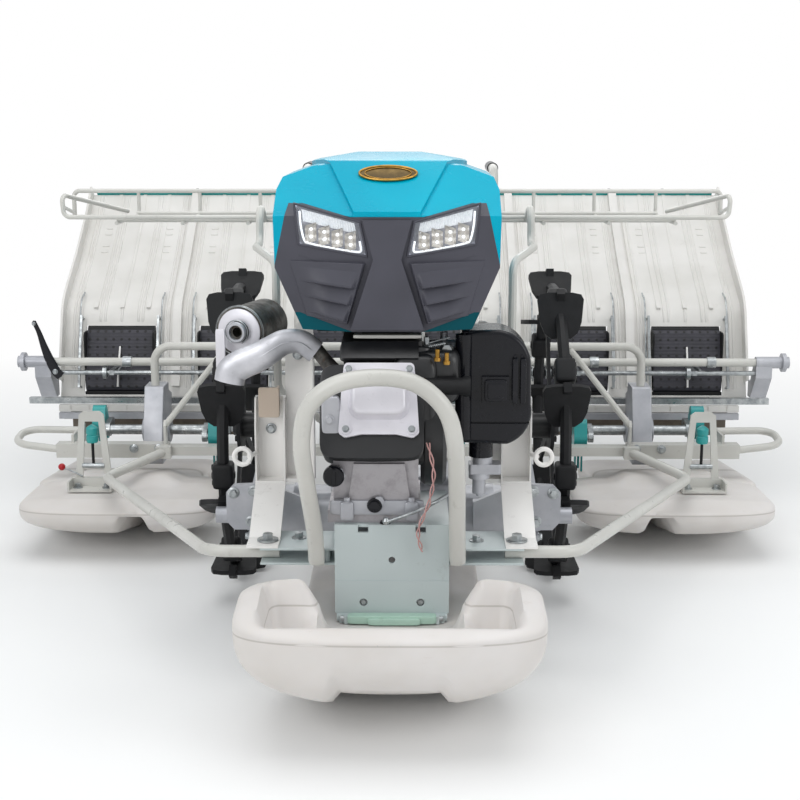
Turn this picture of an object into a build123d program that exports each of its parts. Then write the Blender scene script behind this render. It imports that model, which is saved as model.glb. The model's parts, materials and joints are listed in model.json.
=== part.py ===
"""Six-row walk-behind rice transplanter. Millimetres, +Z up, the machine faces -Y and its left side is +X.

Every sub-part is drawn about the wheel axle, which is y = 0 while drawing, and `keep` then moves it
so that the origin lies on the ground at the middle of the machine's length. Outlines of side views
are lists of (y, z) points, and outlines of front views are lists of (x, z) points.
"""

import os
from math import atan2, cos, degrees, radians, sin

from build123d import *

# Driving dimensions
ROW_PITCH = 300.0
NOSE_Y = -930.0
GRIP_END_Y = 1440.0
TO_ORIGIN_Y = -(NOSE_Y + GRIP_END_Y) / 2
THIN_ROD = 16.0
RUNNING_GAP = 0.3
SIDES = (("left", 1), ("right", -1))
ROWS_X = [(row - 2.5) * ROW_PITCH for row in range(6)]
X_AXIS = (1, 0, 0)
Y_AXIS = (0, 1, 0)
Z_AXIS = (0, 0, 1)

# Wheels: 9 paddle lugs on a round rim
TRACK_X = 336.0
LUGS = 9
LUG_TIP_R = 335.0
LUG_NUB_R = 342.0
FIRST_LUG_DEG = 26.4
LOWEST_LUG_DEG = FIRST_LUG_DEG + 6 * 360.0 / LUGS - 270.0
AXLE_Z = LUG_NUB_R * cos(radians(LOWEST_LUG_DEG))
RIM_R = 297.0
RIM_TUBE_R = 12.0
AXLE_R = 14.0
WHEEL_DISC = 8.0
HUB_CAP = 12.0
AXLE_END_X = TRACK_X + 36.0

# Swing cases and the drive case that they turn on
PIVOT_Y = -350.0
PIVOT_Z = 243.0
SWING_CASE_X = 256.0
DRIVE_HALF = SWING_CASE_X - 21.0
PIVOT_BOSS_END = 344.0

# Muffler: its axis turns inwards towards the rear
MUFFLER_FRONT = (-287.0, -384.0, 608.0)
MUFFLER_REAR = (-248.0, -262.0, 608.0)

# Engine, a little to the right of the centre line
ENGINE_X = -22.0
BED_TOP_Z = 306.0
PLATE_Y = -620.0
CYLINDER_LEAN = 22.0
OUTRIGGER_TOP_Z = 258.4
HOOP_X = -8.0

# Hood
HOOD_X = -8.0
HOOD_HINGE = (-556.0, 642.0)

# Seedling tray: (y, z) bends of its sheet, from the feed end up to the loading end
TRAY_LINE = [(640, 268), (722, 495), (895, 602), (1040, 707), (1105, 771)]
TRAY_HALF = 905.0
TRAY_SHEET = 5.0
TRAY_BEND_R = 90.0
TRAY_REST_X = 12.0
DIVIDER = 22.0
BELT_WIDTH = 178.0
BELT_ROLLER_R = 12.0
TUBE_Y = 563.0
TUBE_Z = 379.0
SHAFT_Z = 351.0

# Planting section
CRANK_Y = 428.0
CRANK_Z = 232.0
CRANK_R = 36.0
CRANK_PHASE = 15.0
CRANK_PIN_R = 8.0
ARM_WIDTH = 32.0
CASES_X = (-600.0, 0.0, 600.0)
BEAM_Y = 343.0
BEAM_Z = 201.0
BEAM_HALF = 17.0
HOOP_FRAME_Y = 420.0
OUTER_ARM_ROWS = (-750.0, -150.0, 750.0)
INNER_ARM_ROWS = (-450.0, 150.0, 450.0)

# Floats
CENTRE_DECK_Z = 131.0
SIDE_FLOAT_IN = 413.0
SIDE_FLOAT_OUT = 868.0
SIDE_FLOAT_TOP = 144.0
MAST_X = 712.0

# Handles
GRIP_Z = 842.0
CONSOLE_BAR = (1200.0, 792.0)


def keep(sub_part, label, shift_x=0.0):
    """Moves a finished sub-part to the machine's own origin, names it and writes its STEP file."""
    sub_part.part.position += (shift_x, TO_ORIGIN_Y, 0)
    sub_part.part.label = label
    export_step(sub_part.part, f"parts/{label}.step")


# ---- Forms used by several sub-parts --------------------------------------------------------------

def bent_tube(points, diameter, bend=None):
    """A bar along straight runs joined by tangent arcs, run by run; thin ones are ten-sided."""
    with BuildLine() as route:
        if len(points) == 2:
            Line(*points)
        else:
            FilletPolyline(*points, radius=bend)
    with BuildPart() as tube:
        for stretch in route.edges():
            with BuildSketch(Plane(origin=stretch @ 0, z_dir=stretch % 0)):
                if diameter > THIN_ROD:
                    Circle(diameter / 2)
                else:
                    RegularPolygon(diameter / 2, 10)
            if stretch.geom_type == GeomType.LINE:
                extrude(amount=stretch.length)
            else:
                sweep(path=stretch)
    return tube


def prism(plane, outline, depth):
    """A solid with the given outline on a plane, grown along the plane's normal."""
    with BuildPart() as block:
        with BuildSketch(plane):
            with BuildLine():
                Polyline(*outline, close=True)
            make_face()
        extrude(amount=depth)
    return block


def side_extrusion(outline, x_from, x_to):
    """A solid with the given (y, z) outline between two x positions."""
    return prism(Plane.YZ.offset(x_from), outline, x_to - x_from)


def front_extrusion(outline, y_from, y_to):
    """A solid with the given (x, z) outline between two y positions, y_from being the front one."""
    return prism(Plane.XZ.offset(-y_to), outline, y_to - y_from)


def box_between(low, high):
    """A box between two opposite corners."""
    size = [b - a for a, b in zip(low, high)]
    with BuildPart() as block:
        with Locations(tuple((a + b) / 2 for a, b in zip(low, high))):
            Box(*size)
    return block


def disc(centre, axis, radius, length, bore=0.0):
    """A cylinder whose middle is at centre, along X, Y or Z, with an optional bore."""
    with BuildPart() as block:
        with BuildSketch(Plane(origin=centre, z_dir=axis)):
            Circle(radius)
            if bore:
                Circle(bore, mode=Mode.SUBTRACT)
        extrude(amount=length / 2, both=True)
    return block


def rod(start, end, diameter):
    """A straight round bar between two points."""
    return bent_tube([start, end], diameter)


def square_bar(start, end, width):
    """A straight bar of square section between two points."""
    with BuildPart() as bar:
        run = Vector(*end) - Vector(*start)
        with BuildSketch(Plane(origin=start, x_dir=X_AXIS, z_dir=run)):
            Rectangle(width, width)
        extrude(amount=run.length)
    return bar


def mirrored(point):
    x, y, z = point
    return (-x, y, z)


def offset_outline(points, outer, inner):
    """A closed strip of (y, z) points between two offsets, square to the line, from an open line."""
    upper, lower = [], []
    for index, (y, z) in enumerate(points):
        before = points[max(index - 1, 0)]
        after = points[min(index + 1, len(points) - 1)]
        angle = atan2(after[1] - before[1], after[0] - before[0])
        normal = (-sin(angle), cos(angle))
        upper.append((y + outer * normal[0], z + outer * normal[1]))
        lower.append((y + inner * normal[0], z + inner * normal[1]))
    return upper + lower[::-1]


# ---- Wheels ---------------------------------------------------------------------------------------

def lug_blade():
    """One paddle: a shield-shaped blade that leans back from the radius, and its nub."""
    root = (272.0 * cos(radians(-13.5)), 272.0 * sin(radians(-13.5)))
    tip = (LUG_TIP_R, 0.0)
    lean = degrees(atan2(tip[1] - root[1], tip[0] - root[0]))
    length = ((tip[0] - root[0]) ** 2 + (tip[1] - root[1]) ** 2) ** 0.5
    with BuildPart() as blade:
        with BuildSketch(Plane(origin=(root[0], root[1], 0), x_dir=Z_AXIS,
                               z_dir=(-sin(radians(lean)), cos(radians(lean)), 0))):
            half = [(20, 0), (34, 12), (42, 34), (47, length - 14), (42, length - 4), (24, length)]
            with BuildLine():
                Polyline(*half, *[(-x, y) for x, y in reversed(half)], close=True)
            make_face()
        extrude(amount=5, both=True)
        with BuildSketch(Plane(origin=(LUG_NUB_R - 24, -6, 0), z_dir=X_AXIS)):
            Rectangle(16, 20)
        extrude(amount=24)
    return blade


def wheel(side):
    """Rim, lugs, spokes and hub disc, welded and moulded as one."""
    blade = lug_blade()
    with BuildPart() as flat:
        with BuildSketch(Plane.XZ):
            with Locations((RIM_R, 0)):
                RegularPolygon(RIM_TUBE_R, 8, rotation=22.5)
        revolve(axis=Axis.Z)
        with PolarLocations(0, LUGS, start_angle=FIRST_LUG_DEG):
            add(blade.part)
        Cylinder(58, 8)
        with PolarLocations((RIM_R + 45) / 2, 4, start_angle=30):
            Box(RIM_R - 45 - RIM_TUBE_R / 2, 26, 7)
        Cylinder(AXLE_R + RUNNING_GAP, 20, mode=Mode.SUBTRACT)
    standing = Plane(origin=(0, 0, 0), x_dir=(0, -1, 0), z_dir=(-1, 0, 0))
    with BuildPart() as whole:
        add(standing.from_local_coords(flat.part))
    whole.part.position += (side * TRACK_X, 0, AXLE_Z)
    return whole


def wheels():
    for name, side in SIDES:
        keep(wheel(side), f"wheel_{name}")
        with BuildPart() as hub:
            start = SWING_CASE_X + 24.5
            end = TRACK_X - WHEEL_DISC / 2
            cap = TRACK_X + WHEEL_DISC / 2 + HUB_CAP / 2
            add(disc((side * (start + end) / 2, 0, AXLE_Z), X_AXIS, 27, end - start).part)
            add(disc((side * cap, 0, AXLE_Z), X_AXIS, 22, HUB_CAP).part)
            bore = AXLE_R + RUNNING_GAP
            add(disc((side * TRACK_X, 0, AXLE_Z), X_AXIS, bore, 130).part, mode=Mode.SUBTRACT)
        keep(hub, f"wheel_hub_{name}")
    with BuildPart() as axles:
        for _, side in SIDES:
            start = SWING_CASE_X + 20
            add(disc((side * (start + AXLE_END_X) / 2, 0, AXLE_Z), X_AXIS, AXLE_R, AXLE_END_X - start).part)
    keep(axles, "wheel_axles")


def swing_case(side):
    """Flat cast chain case from the drive case's pivot back to the wheel axle."""
    inner = Plane.YZ.offset(side * SWING_CASE_X - 20)
    with BuildPart() as case:
        with BuildSketch(inner):
            with Locations((PIVOT_Y, PIVOT_Z)):
                Circle(46)
            with Locations((0, AXLE_Z)):
                Circle(38)
            make_hull()
        extrude(amount=40)
        outer_face = side * (SWING_CASE_X + 20)
        with BuildSketch(Plane.YZ.offset(outer_face)):
            with Locations((PIVOT_Y + 40, PIVOT_Z + 11)):
                Circle(24)
            with Locations((-70, AXLE_Z - 19)):
                Circle(18)
            make_hull()
        extrude(amount=-6 * side, mode=Mode.SUBTRACT)
        start = SWING_CASE_X + 18
        middle = (start + PIVOT_BOSS_END) / 2
        add(disc((side * middle, PIVOT_Y, PIVOT_Z), X_AXIS, 16, PIVOT_BOSS_END - start).part)
        add(disc((side * (SWING_CASE_X + 23), PIVOT_Y, PIVOT_Z), X_AXIS, 30, 8).part)
        for ear in range(5):
            angle = radians(100 + 60 * ear)
            centre = (side * SWING_CASE_X, PIVOT_Y + 48 * cos(angle), PIVOT_Z + 48 * sin(angle))
            add(disc(centre, X_AXIS, 11, 40, 4.5).part)
    return case


def swing_cases():
    with BuildPart() as cases:
        for _, side in SIDES:
            add(swing_case(side).part)
    keep(cases, "swing_cases")


# ---- Chassis --------------------------------------------------------------------------------------

def engine_frame():
    """Pressed engine bed: a front plate, a top and two cheeks, open below and behind."""
    outer = [(PLATE_Y, 145), (PLATE_Y, BED_TOP_Z), (-400, BED_TOP_Z), (-400, 225), (-560, 145)]
    inner = [(PLATE_Y + 6, 100), (PLATE_Y + 6, BED_TOP_Z - 6), (-390, BED_TOP_Z - 6), (-390, 100)]
    with BuildPart() as frame:
        add(side_extrusion(outer, -100, 100).part)
        add(side_extrusion(inner, -94, 94).part, mode=Mode.SUBTRACT)
        add(box_between((-100, PLATE_Y - 2, 145), (100, PLATE_Y, 204)).part)
        with BuildSketch(Plane.XZ.offset(-PLATE_Y + 2)):
            with Locations((0, 242)):
                Circle(6)
            with Locations((-50, 165), (50, 165)):
                Circle(7)
            with Locations((-50, BED_TOP_Z - 7), (50, BED_TOP_Z - 7)):
                Rectangle(18, 14)
        extrude(amount=-8, mode=Mode.SUBTRACT)
    keep(frame, "engine_frame")


def outrigger_plates():
    """Two plates with spacers on each side of the engine bed; they grip the side guards between them."""
    upper = (OUTRIGGER_TOP_Z - 4, OUTRIGGER_TOP_Z)
    lower = (228.0, 232.0)
    with BuildPart() as plates:
        for _, side in SIDES:
            low, high = sorted((side * 100, side * 232))
            for z_low, z_high in (upper, lower):
                add(box_between((low, -607, z_low), (high, -502, z_high)).part)
            for x, y in ((118, -592), (214, -520), (118, -520)):
                add(disc((side * x, y, 243.2), Z_AXIS, 9, 26).part)
    keep(plates, "outrigger_plates")


def bumper_hoop():
    """Hoop in front of the engine, on two pads that bolt to the outrigger plates."""
    half = [(123, PLATE_Y - 2, 232), (125, -640, 340), (139, -700, 476), (108, -712, 601)]
    route = [(HOOP_X + x, y, z) for x, y, z in half] + [(HOOP_X - x, y, z) for x, y, z in reversed(half)]
    with BuildPart() as hoop:
        add(bent_tube(route, 28, 60).part)
        for x in (HOOP_X + 123, HOOP_X - 123):
            low, high = sorted((x, x + (12 if x > 0 else -12)))
            add(box_between((low - 4, -618, 230), (high + 4, -607, 259)).part)
    keep(hoop, "bumper_hoop")


def transmission():
    """Drive case across the machine behind the engine, and the drive tube back to the planting beam."""
    with BuildPart() as case:
        add(box_between((-118, -400, 190), (118, -160, 330)).part)
        fillet(case.edges().filter_by(Axis.X), 26)
        add(box_between((-100, -240, 205), (100, -110, 300)).part)
        add(disc((0, 83, 205), Y_AXIS, 25, 486).part)
        add(disc((0, -96, 205), Y_AXIS, 40, 30).part)
    keep(case, "transmission_case")
    with BuildPart() as gear_cases:
        for _, side in SIDES:
            low, high = sorted((side * 118, side * DRIVE_HALF))
            with BuildSketch(Plane.YZ.offset(low)):
                with Locations((-350, 250.5)):
                    RectangleRounded(100, 91, 24)
            extrude(amount=high - low)
            add(disc((side * 178, -352, 250), X_AXIS, 56, 26).part)
            flange = [(150, 236), (300, 236), (314, 252), (314, 308), (300, 323), (236, 326), (150, 290)]
            add(front_extrusion([(side * x, z) for x, z in flange], -424, -412).part)
            low, high = sorted((side * 150, side * 228))
            add(box_between((low, -412, 240), (high, -398, 290)).part)
            add(disc((side * 300, -418, 308), Y_AXIS, 5, 40).part, mode=Mode.SUBTRACT)
    keep(gear_cases, "gear_cases")


def hood_stay(side):
    """Folded steel stay: a foot and slope, an open-front channel, and an inner post up to the hood."""
    low, high = sorted((side * 200, side * 256))
    web = [(-607, OUTRIGGER_TOP_Z), (-607, 262.4), (-560, 264), (-446, 333), (-446, 337), (-412, 337),
           (-412, 492), (-408, 492), (-408, 333), (-440, 330), (-556, OUTRIGGER_TOP_Z)]
    cheek = [(-443, 333), (-443, 440), (-432, 492), (-408, 492), (-408, 333)]
    post_low, post_high = sorted((side * 146, side * 200))
    with BuildPart() as stay:
        add(side_extrusion(web, low, high).part)
        for x in (low, high - 3):
            add(side_extrusion(cheek, x, x + 3).part)
        add(box_between((post_low, -412, 333), (post_high, -408, 596)).part)
        post_edge = [(-440, 340), (-434, 560), (-408, 600), (-408, 333)]
        x = post_low if side > 0 else post_high - 3
        add(side_extrusion(post_edge, x, x + 3).part)
        tab = [(146, 594), (200, 594), (184, 622), (170, 632), (158, 632), (148, 618)]
        add(front_extrusion([(side * x, z) for x, z in tab], -412, -408).part)
        add(box_between((post_low + 12, -420, 606), (post_high - 32, -400, 624)).part, mode=Mode.SUBTRACT)
        foot = [(150, 333), (202, 333), (202, 340), (150, 340)]
        add(front_extrusion([(side * x, z) for x, z in foot], -440, -408).part)
        ring = Plane(origin=(side * 276, -470, 390), x_dir=X_AXIS, z_dir=Y_AXIS)
        with BuildPart(mode=Mode.PRIVATE) as eye:
            with BuildSketch(Plane.XZ):
                with Locations((15, 0)):
                    RegularPolygon(4.5, 8, rotation=22.5)
            revolve(axis=Axis.Z)
        add(ring.from_local_coords(eye.part))
        add(rod((side * 254, -436, 388), (side * 264, -468, 390), 9).part)
    return stay


def hood_stays():
    with BuildPart() as stays:
        for _, side in SIDES:
            add(hood_stay(side).part)
    keep(stays, "hood_stays")


def side_guards():
    """V-shaped tubes from the outrigger plates round the wheels to the planting beam."""
    for name, side in SIDES:
        route = [(200, -575, 243.2), (330, -575, 243.2), (672, 151, 182), (566, 314, 202)]
        with BuildPart() as guard:
            add(bent_tube([(side * x, y, z) for x, y, z in route], 22, 55).part)
            low, high = sorted((side * 548, side * 584))
            add(box_between((low, 304, 187), (high, BEAM_Y - BEAM_HALF, 216)).part)
        keep(guard, f"side_guard_{name}")


# ---- Engine ---------------------------------------------------------------------------------------

def cylinder_plane():
    """Face of the cylinder head: it leans back, looking forward and up."""
    lean = radians(CYLINDER_LEAN)
    return Plane(origin=(ENGINE_X, -606, 526), x_dir=X_AXIS, z_dir=(0, -cos(lean), sin(lean)))


def engine_block():
    """Crankcase on its feet, with the finned cylinder leaning forward."""
    face = cylinder_plane()
    with BuildPart() as block:
        add(box_between((-112, -606, BED_TOP_Z), (50, -404, 328)).part)
        add(box_between((-102, -600, 320), (46, -412, 446)).part)
        fillet(block.edges().filter_by(Axis.Y).group_by(Axis.Z)[-1], 30)
        sump = [(-78, 334), (-66, 412), (22, 412), (34, 334)]
        add(front_extrusion(sump, -609, -600).part)
        add(disc((-98, -600, 394), Y_AXIS, 15, 26).part)
        add(disc((ENGINE_X, -600, 347), Y_AXIS, 8, 24).part)
        with BuildSketch(face):
            RectangleRounded(108, 104, 20)
        extrude(amount=-125)
        with BuildSketch(*[face.offset(-10.0 * fin - 8) for fin in range(9)]):
            RectangleRounded(136, 124, 16)
        extrude(amount=-3)
    keep(block, "engine_block")


def valve_cover():
    """Cast cover with a flange that flares at its lower corners and a domed middle."""
    face = cylinder_plane()
    flange = [(-60, 62), (60, 62), (64, 20), (69, -60), (58, -68), (30, -62), (-30, -62), (-58, -68),
              (-69, -60), (-64, 20)]
    with BuildPart() as cover:
        with BuildSketch(face):
            with BuildLine():
                Polyline(*flange, close=True)
            make_face()
            fillet(vertices(), 8)
        extrude(amount=9)
        with BuildSketch(face.offset(9)):
            RectangleRounded(104, 74, 22)
        extrude(amount=24, taper=16)
        fillet(cover.faces().sort_by(Axis(face.origin, face.z_dir))[-1].edges(), 7)
        with BuildSketch(face.offset(9)):
            with Locations((-52, 50), (52, 50), (-56, -54), (56, -54)):
                Circle(9)
        extrude(amount=6)
    keep(cover, "valve_cover")


def engine_shroud():
    """Black blower housing on the engine's left and the cooling duct over its cylinder."""
    with BuildPart() as shroud:
        add(disc((73, -490, 452), X_AXIS, 105, 45).part)
        chamfer(shroud.edges(), 7)
        add(disc((100, -490, 452), X_AXIS, 42, 10).part)
        duct = [(-586, 594), (-560, 618), (-440, 618), (-430, 594)]
        add(side_extrusion(duct, -88, 46).part)
        add(box_between((46, -560, 545), (52, -440, 618)).part)
        add(box_between((40, -560, 594), (52, -440, 618)).part)
    keep(shroud, "engine_shroud")


def air_cleaner():
    """Moulded cleaner with a large round outer shoulder, a belt groove and a hose neck below."""
    with BuildPart() as cleaner:
        with BuildSketch(Plane.XZ.offset(445)):
            with BuildLine():
                Line((122, 430), (122, 632))
                Line((122, 632), (188, 634))
                ThreePointArc((188, 634), (229, 612), (245, 566))
                Line((245, 566), (246, 500))
                ThreePointArc((246, 500), (237, 452), (204, 427))
                Line((204, 427), (122, 430))
            make_face()
        extrude(amount=85)
        fillet(cleaner.faces().sort_by(Axis.Y)[0].edges(), 9)
        groove = front_extrusion([(110, 466), (260, 466), (260, 470), (110, 470)], -540, -440)
        with BuildPart() as core:
            add(box_between((127, -525, 460), (240, -440, 476)).part)
        add((groove.part - core.part), mode=Mode.SUBTRACT)
        add(disc((126, -524, 532), Z_AXIS, 15, 188).part)
        add(box_between((158, -538, 505), (206, -528, 552)).part)
        add(disc((160, -487, 414), Z_AXIS, 22, 34).part)
        for x in (214, 226):
            add(box_between((x, -534, 500), (x + 4, -524, 590)).part)
    keep(cleaner, "air_cleaner")


def carburettor():
    with BuildPart() as body:
        add(box_between((56, -500, 574), (121.5, -450, 600)).part)
        add(disc((92, -475, 588), X_AXIS, 20, 59).part)
        add(disc((92, -530, 592), Y_AXIS, 9, 70).part)
        add(disc((92, -475, 610), Z_AXIS, 7, 24).part)
    keep(body, "carburettor")


def fuel_strainer():
    """Cast cock with a hanging cup, held by its hose neck on the air cleaner."""
    with BuildPart() as strainer:
        add(disc((163, -487, 390), Z_AXIS, 18, 14).part)
        add(box_between((138, -505, 366), (196, -470, 384)).part)
        fillet(strainer.edges().filter_by(Axis.Z), 5)
        add(disc((157, -487, 361), Z_AXIS, 19, 10).part)
        add(disc((157, -487, 342), Z_AXIS, 12, 30).part)
        add(disc((157, -487, 325), Z_AXIS, 5, 8).part)
    keep(strainer, "fuel_strainer")


def fuel_tank():
    with BuildPart() as tank:
        add(box_between((ENGINE_X - 98, -498, 634), (ENGINE_X + 98, -322, 735)).part)
        chamfer(tank.edges().filter_by(Axis.Z), 24)
        chamfer(tank.faces().sort_by(Axis.Z)[-1].edges(), 12)
        add(box_between((ENGINE_X - 112, -518, 630), (ENGINE_X + 112, -305, 634)).part)
    keep(tank, "fuel_tank")
    with BuildPart() as posts:
        for x in (ENGINE_X - 60, ENGINE_X + 60):
            add(box_between((x - 9, -450, 618), (x + 9, -400, 630)).part)
        add(box_between((ENGINE_X - 70, -404, 440), (ENGINE_X + 70, -398, 630)).part)
        add(box_between((ENGINE_X - 70, -412, 440), (ENGINE_X + 70, -398, 446)).part)
    keep(posts, "tank_bracket")
    y, z = HOOD_HINGE
    with BuildPart() as hinge:
        bracket = [(y + 2, z - 3), (y + 2, z + 2), (-543, 638), (-505, 638), (-505, 634), (-545, 634)]
        add(side_extrusion(bracket, HOOD_X - 40, HOOD_X + 40).part)
        add(disc((HOOD_X, y, z), X_AXIS, 3.5, 116).part)
    keep(hinge, "hood_hinge")


EXHAUST_S = [(-310, -462, 540), (-276, -462, 552), (-236, -462, 578), (-178, -462, 600), (-140, -462, 590)]


def muffler_plane():
    """Front face of the muffler, looking forward along its axis."""
    return Plane(origin=MUFFLER_FRONT, z_dir=[a - b for a, b in zip(MUFFLER_FRONT, MUFFLER_REAR)])


def exhaust():
    """Muffler can with its outlet ring, and the pipe that comes round from the cylinder head."""
    face = muffler_plane()
    length = (Vector(*MUFFLER_REAR) - Vector(*MUFFLER_FRONT)).length
    with BuildPart() as muffler:
        with BuildSketch(face.offset(-12)):
            Circle(46)
        extrude(amount=12 - length)
        chamfer(muffler.edges(), 6)
        with BuildSketch(face.offset(-16)):
            Circle(48)
        extrude(amount=16)
        with BuildSketch(face.offset(-4)):
            Circle(20)
        extrude(amount=14)
        with BuildSketch(face.offset(20)):
            Circle(9)
        extrude(amount=-40, mode=Mode.SUBTRACT)
        pipe = [(-290, -318, 586), (-306, -340, 544), (-318, -402, 536)] + EXHAUST_S
        add(bent_tube(pipe + [(-116, -495, 568), (-97, -530, 556)], 26, 14).part)
    keep(muffler, "muffler")
    with BuildPart() as plate:
        with BuildSketch(face.offset(RUNNING_GAP)):
            Circle(44)
            with Locations((0, -22)):
                Rectangle(88, 44)
            Circle(26, mode=Mode.SUBTRACT)
            with Locations((0, -26)):
                Rectangle(52, 50, mode=Mode.SUBTRACT)
        extrude(amount=3)
    keep(plate, "muffler_plate")


def exhaust_shroud():
    """Half-round aluminium guard that follows the S of the exhaust pipe."""
    with BuildPart() as shroud:
        with BuildLine() as path:
            FilletPolyline(*EXHAUST_S, radius=30)
        start = Plane(origin=path.line @ 0, x_dir=(0, -1, 0), z_dir=path.line % 0)
        with BuildSketch(start):
            Circle(27)
            Circle(24, mode=Mode.SUBTRACT)
            with Locations((-20, 0)):
                Rectangle(40, 60, mode=Mode.SUBTRACT)
        sweep(path=path.line)
    keep(shroud, "exhaust_shroud")


# ---- Hood -----------------------------------------------------------------------------------------

HOOD_SIDE = [(-566, 636), (-580, 836), (-425, 915), (-250, 928), (-215, 900), (-215, 640), (-520, 640)]
PLATEAU_SIDE = [(-566, 700), (-580, 843), (-427, 921), (-250, 935), (-208, 906), (-208, 700)]
PLATEAU_FRONT = [(150, 700), (150, 917), (135, 921), (60, 934)]
PLATEAU_PLAN = [(HOOD_X + x, y) for x, y in ((-50, -600), (50, -600), (145, -300), (145, -200), (-145, -200),
                                             (-145, -300))]
HOOD_FRONT = [(60, 636), (146, 641), (158, 668), (192, 748), (194, 876), (186, 896), (135, 914), (60, 927)]
HOOD_INSIDE = [(55, 560), (141, 560), (153, 670), (187, 749), (189, 874), (181, 891), (132, 908), (60, 921)]
PARTING = [(60, 500), (60, 636), (150, 671), (300, 671), (300, 745), (193, 748), (168, 861), (62, 834)]
LOUVRES = [((151, 765), (65, 732)), ((158, 738), (65, 708)), ((148, 702), (73, 672))]


def symmetric(half, centre=0.0):
    """Closed outline of (x, z) points from its left half."""
    return [(centre + x, z) for x, z in half] + [(centre - x, z) for x, z in reversed(half)]


def hood_solid(front, side_view):
    with BuildPart() as solid:
        add(front_extrusion(symmetric(front, HOOD_X), -700, 0).part)
        add(side_extrusion(side_view, -300, 300).part, mode=Mode.INTERSECT)
    return solid


def lamp_outline(side, grow=0.0):
    """Slanted four-cornered lamp opening, as (x, z) points."""
    corners = [(157 + grow, 857 + grow), (46 - grow, 826 + grow), (34 - grow, 767 - grow),
               (150 + grow, 788 - grow)]
    return [(HOOD_X + side * x, z) for x, z in corners]


def louvre(side, outer, inner):
    """A slanting groove in the front wall, from nothing at its outer end to full depth at its inner one."""
    start = Vector(HOOD_X + side * outer[0], -566 - 0.07 * (outer[1] - 636), outer[1])
    run = Vector(side * (inner[0] - outer[0]), 0, inner[1] - outer[1])
    along = run.normalized()
    with BuildPart() as groove:
        with BuildSketch(Plane(origin=start, x_dir=along, z_dir=(-along.Z, 0, along.X))):
            with BuildLine():
                Polyline((0, -12), (run.length, -12), (run.length, 4.2), (0, 0.2), close=True)
            make_face()
        extrude(amount=5.5, both=True)
    return groove


def hood():
    solid = hood_solid(HOOD_FRONT, HOOD_SIDE)
    with BuildPart() as shell:
        add(solid.part)
        with BuildPart(mode=Mode.PRIVATE) as plateau:
            add(hood_solid(PLATEAU_FRONT, PLATEAU_SIDE).part)
            add(prism(Plane.XY.offset(600), PLATEAU_PLAN, 400).part, mode=Mode.INTERSECT)
        add(plateau.part)
        inner_side = [(-555.4, 556)]
        inner_side += [(y + (5 if y < -300 else -5), z - (6 if z > 700 else 80)) for y, z in HOOD_SIDE[1:]]
        add(hood_solid(HOOD_INSIDE, inner_side).part, mode=Mode.SUBTRACT)
    fascia_zone = [(-700, 500), (-700, 880), (-545, 880), (-522, 700), (-522, 500)]
    with BuildPart() as front_zone:
        add(side_extrusion(fascia_zone, -300, 300).part)
        add(front_extrusion(symmetric(PARTING, HOOD_X), -700, -400).part, mode=Mode.INTERSECT)
    with BuildPart() as top:
        add(shell.part)
        add(front_zone.part, mode=Mode.SUBTRACT)
        add(box_between((-300, -700, 500), (300, -100, 700)).part, mode=Mode.SUBTRACT)
    keep(top, "hood_shell")
    with BuildPart() as skirts:
        add(shell.part)
        add(front_zone.part, mode=Mode.SUBTRACT)
        add(box_between((-300, -700, 500), (300, -100, 700)).part, mode=Mode.INTERSECT)
    keep(skirts, "hood_skirts")
    with BuildPart() as fascia:
        add(shell.part)
        add(front_zone.part, mode=Mode.INTERSECT)
        ridge = [(42, 829), (24, 762), (63, 642)]
        add(front_extrusion(symmetric(ridge, HOOD_X), -585, -566).part)
        for side in (1, -1):
            add(front_extrusion(lamp_outline(side), -700, -500).part, mode=Mode.SUBTRACT)
            for outer, inner in LOUVRES:
                add(louvre(side, outer, inner).part, mode=Mode.SUBTRACT)
            y, z = HOOD_HINGE
            add(disc((HOOD_X + side * 48, y, z), X_AXIS, 8, 8).part)
            low, high = sorted((HOOD_X + side * 44, HOOD_X + side * 52))
            add(box_between((low, -566, z - 4), (high, y, z + 8)).part)
            add(disc((HOOD_X + side * 48, y, z), X_AXIS, 3.8, 12).part, mode=Mode.SUBTRACT)
    keep(fascia, "hood_fascia")
    with BuildPart() as lamps:
        for side in (1, -1):
            add(front_extrusion(lamp_outline(side, -0.3), -700, -562).part)
        add(hood_solid(HOOD_FRONT, [(y - 3, z) for y, z in HOOD_SIDE]).part, mode=Mode.INTERSECT)
    keep(lamps, "headlamps")
    slope = Plane(origin=(HOOD_X, -468, 900.1), x_dir=X_AXIS, z_dir=(0, -78, 153))
    with BuildPart() as badge:
        with BuildSketch(slope):
            Ellipse(54, 27)
        extrude(amount=3)
    keep(badge, "hood_badge")


# ---- Seedling tray --------------------------------------------------------------------------------

def tray_strip(x_from, x_to, thickness, bends=TRAY_LINE):
    """A strip of the tray's side profile, as thick as asked, centred on its sheet."""
    with BuildPart() as strip:
        with BuildSketch(Plane.YZ.offset(x_from)):
            with BuildLine() as line:
                FilletPolyline(*bends, radius=TRAY_BEND_R)
            trace(line_width=thickness)
        extrude(amount=x_to - x_from)
    return strip


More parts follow.
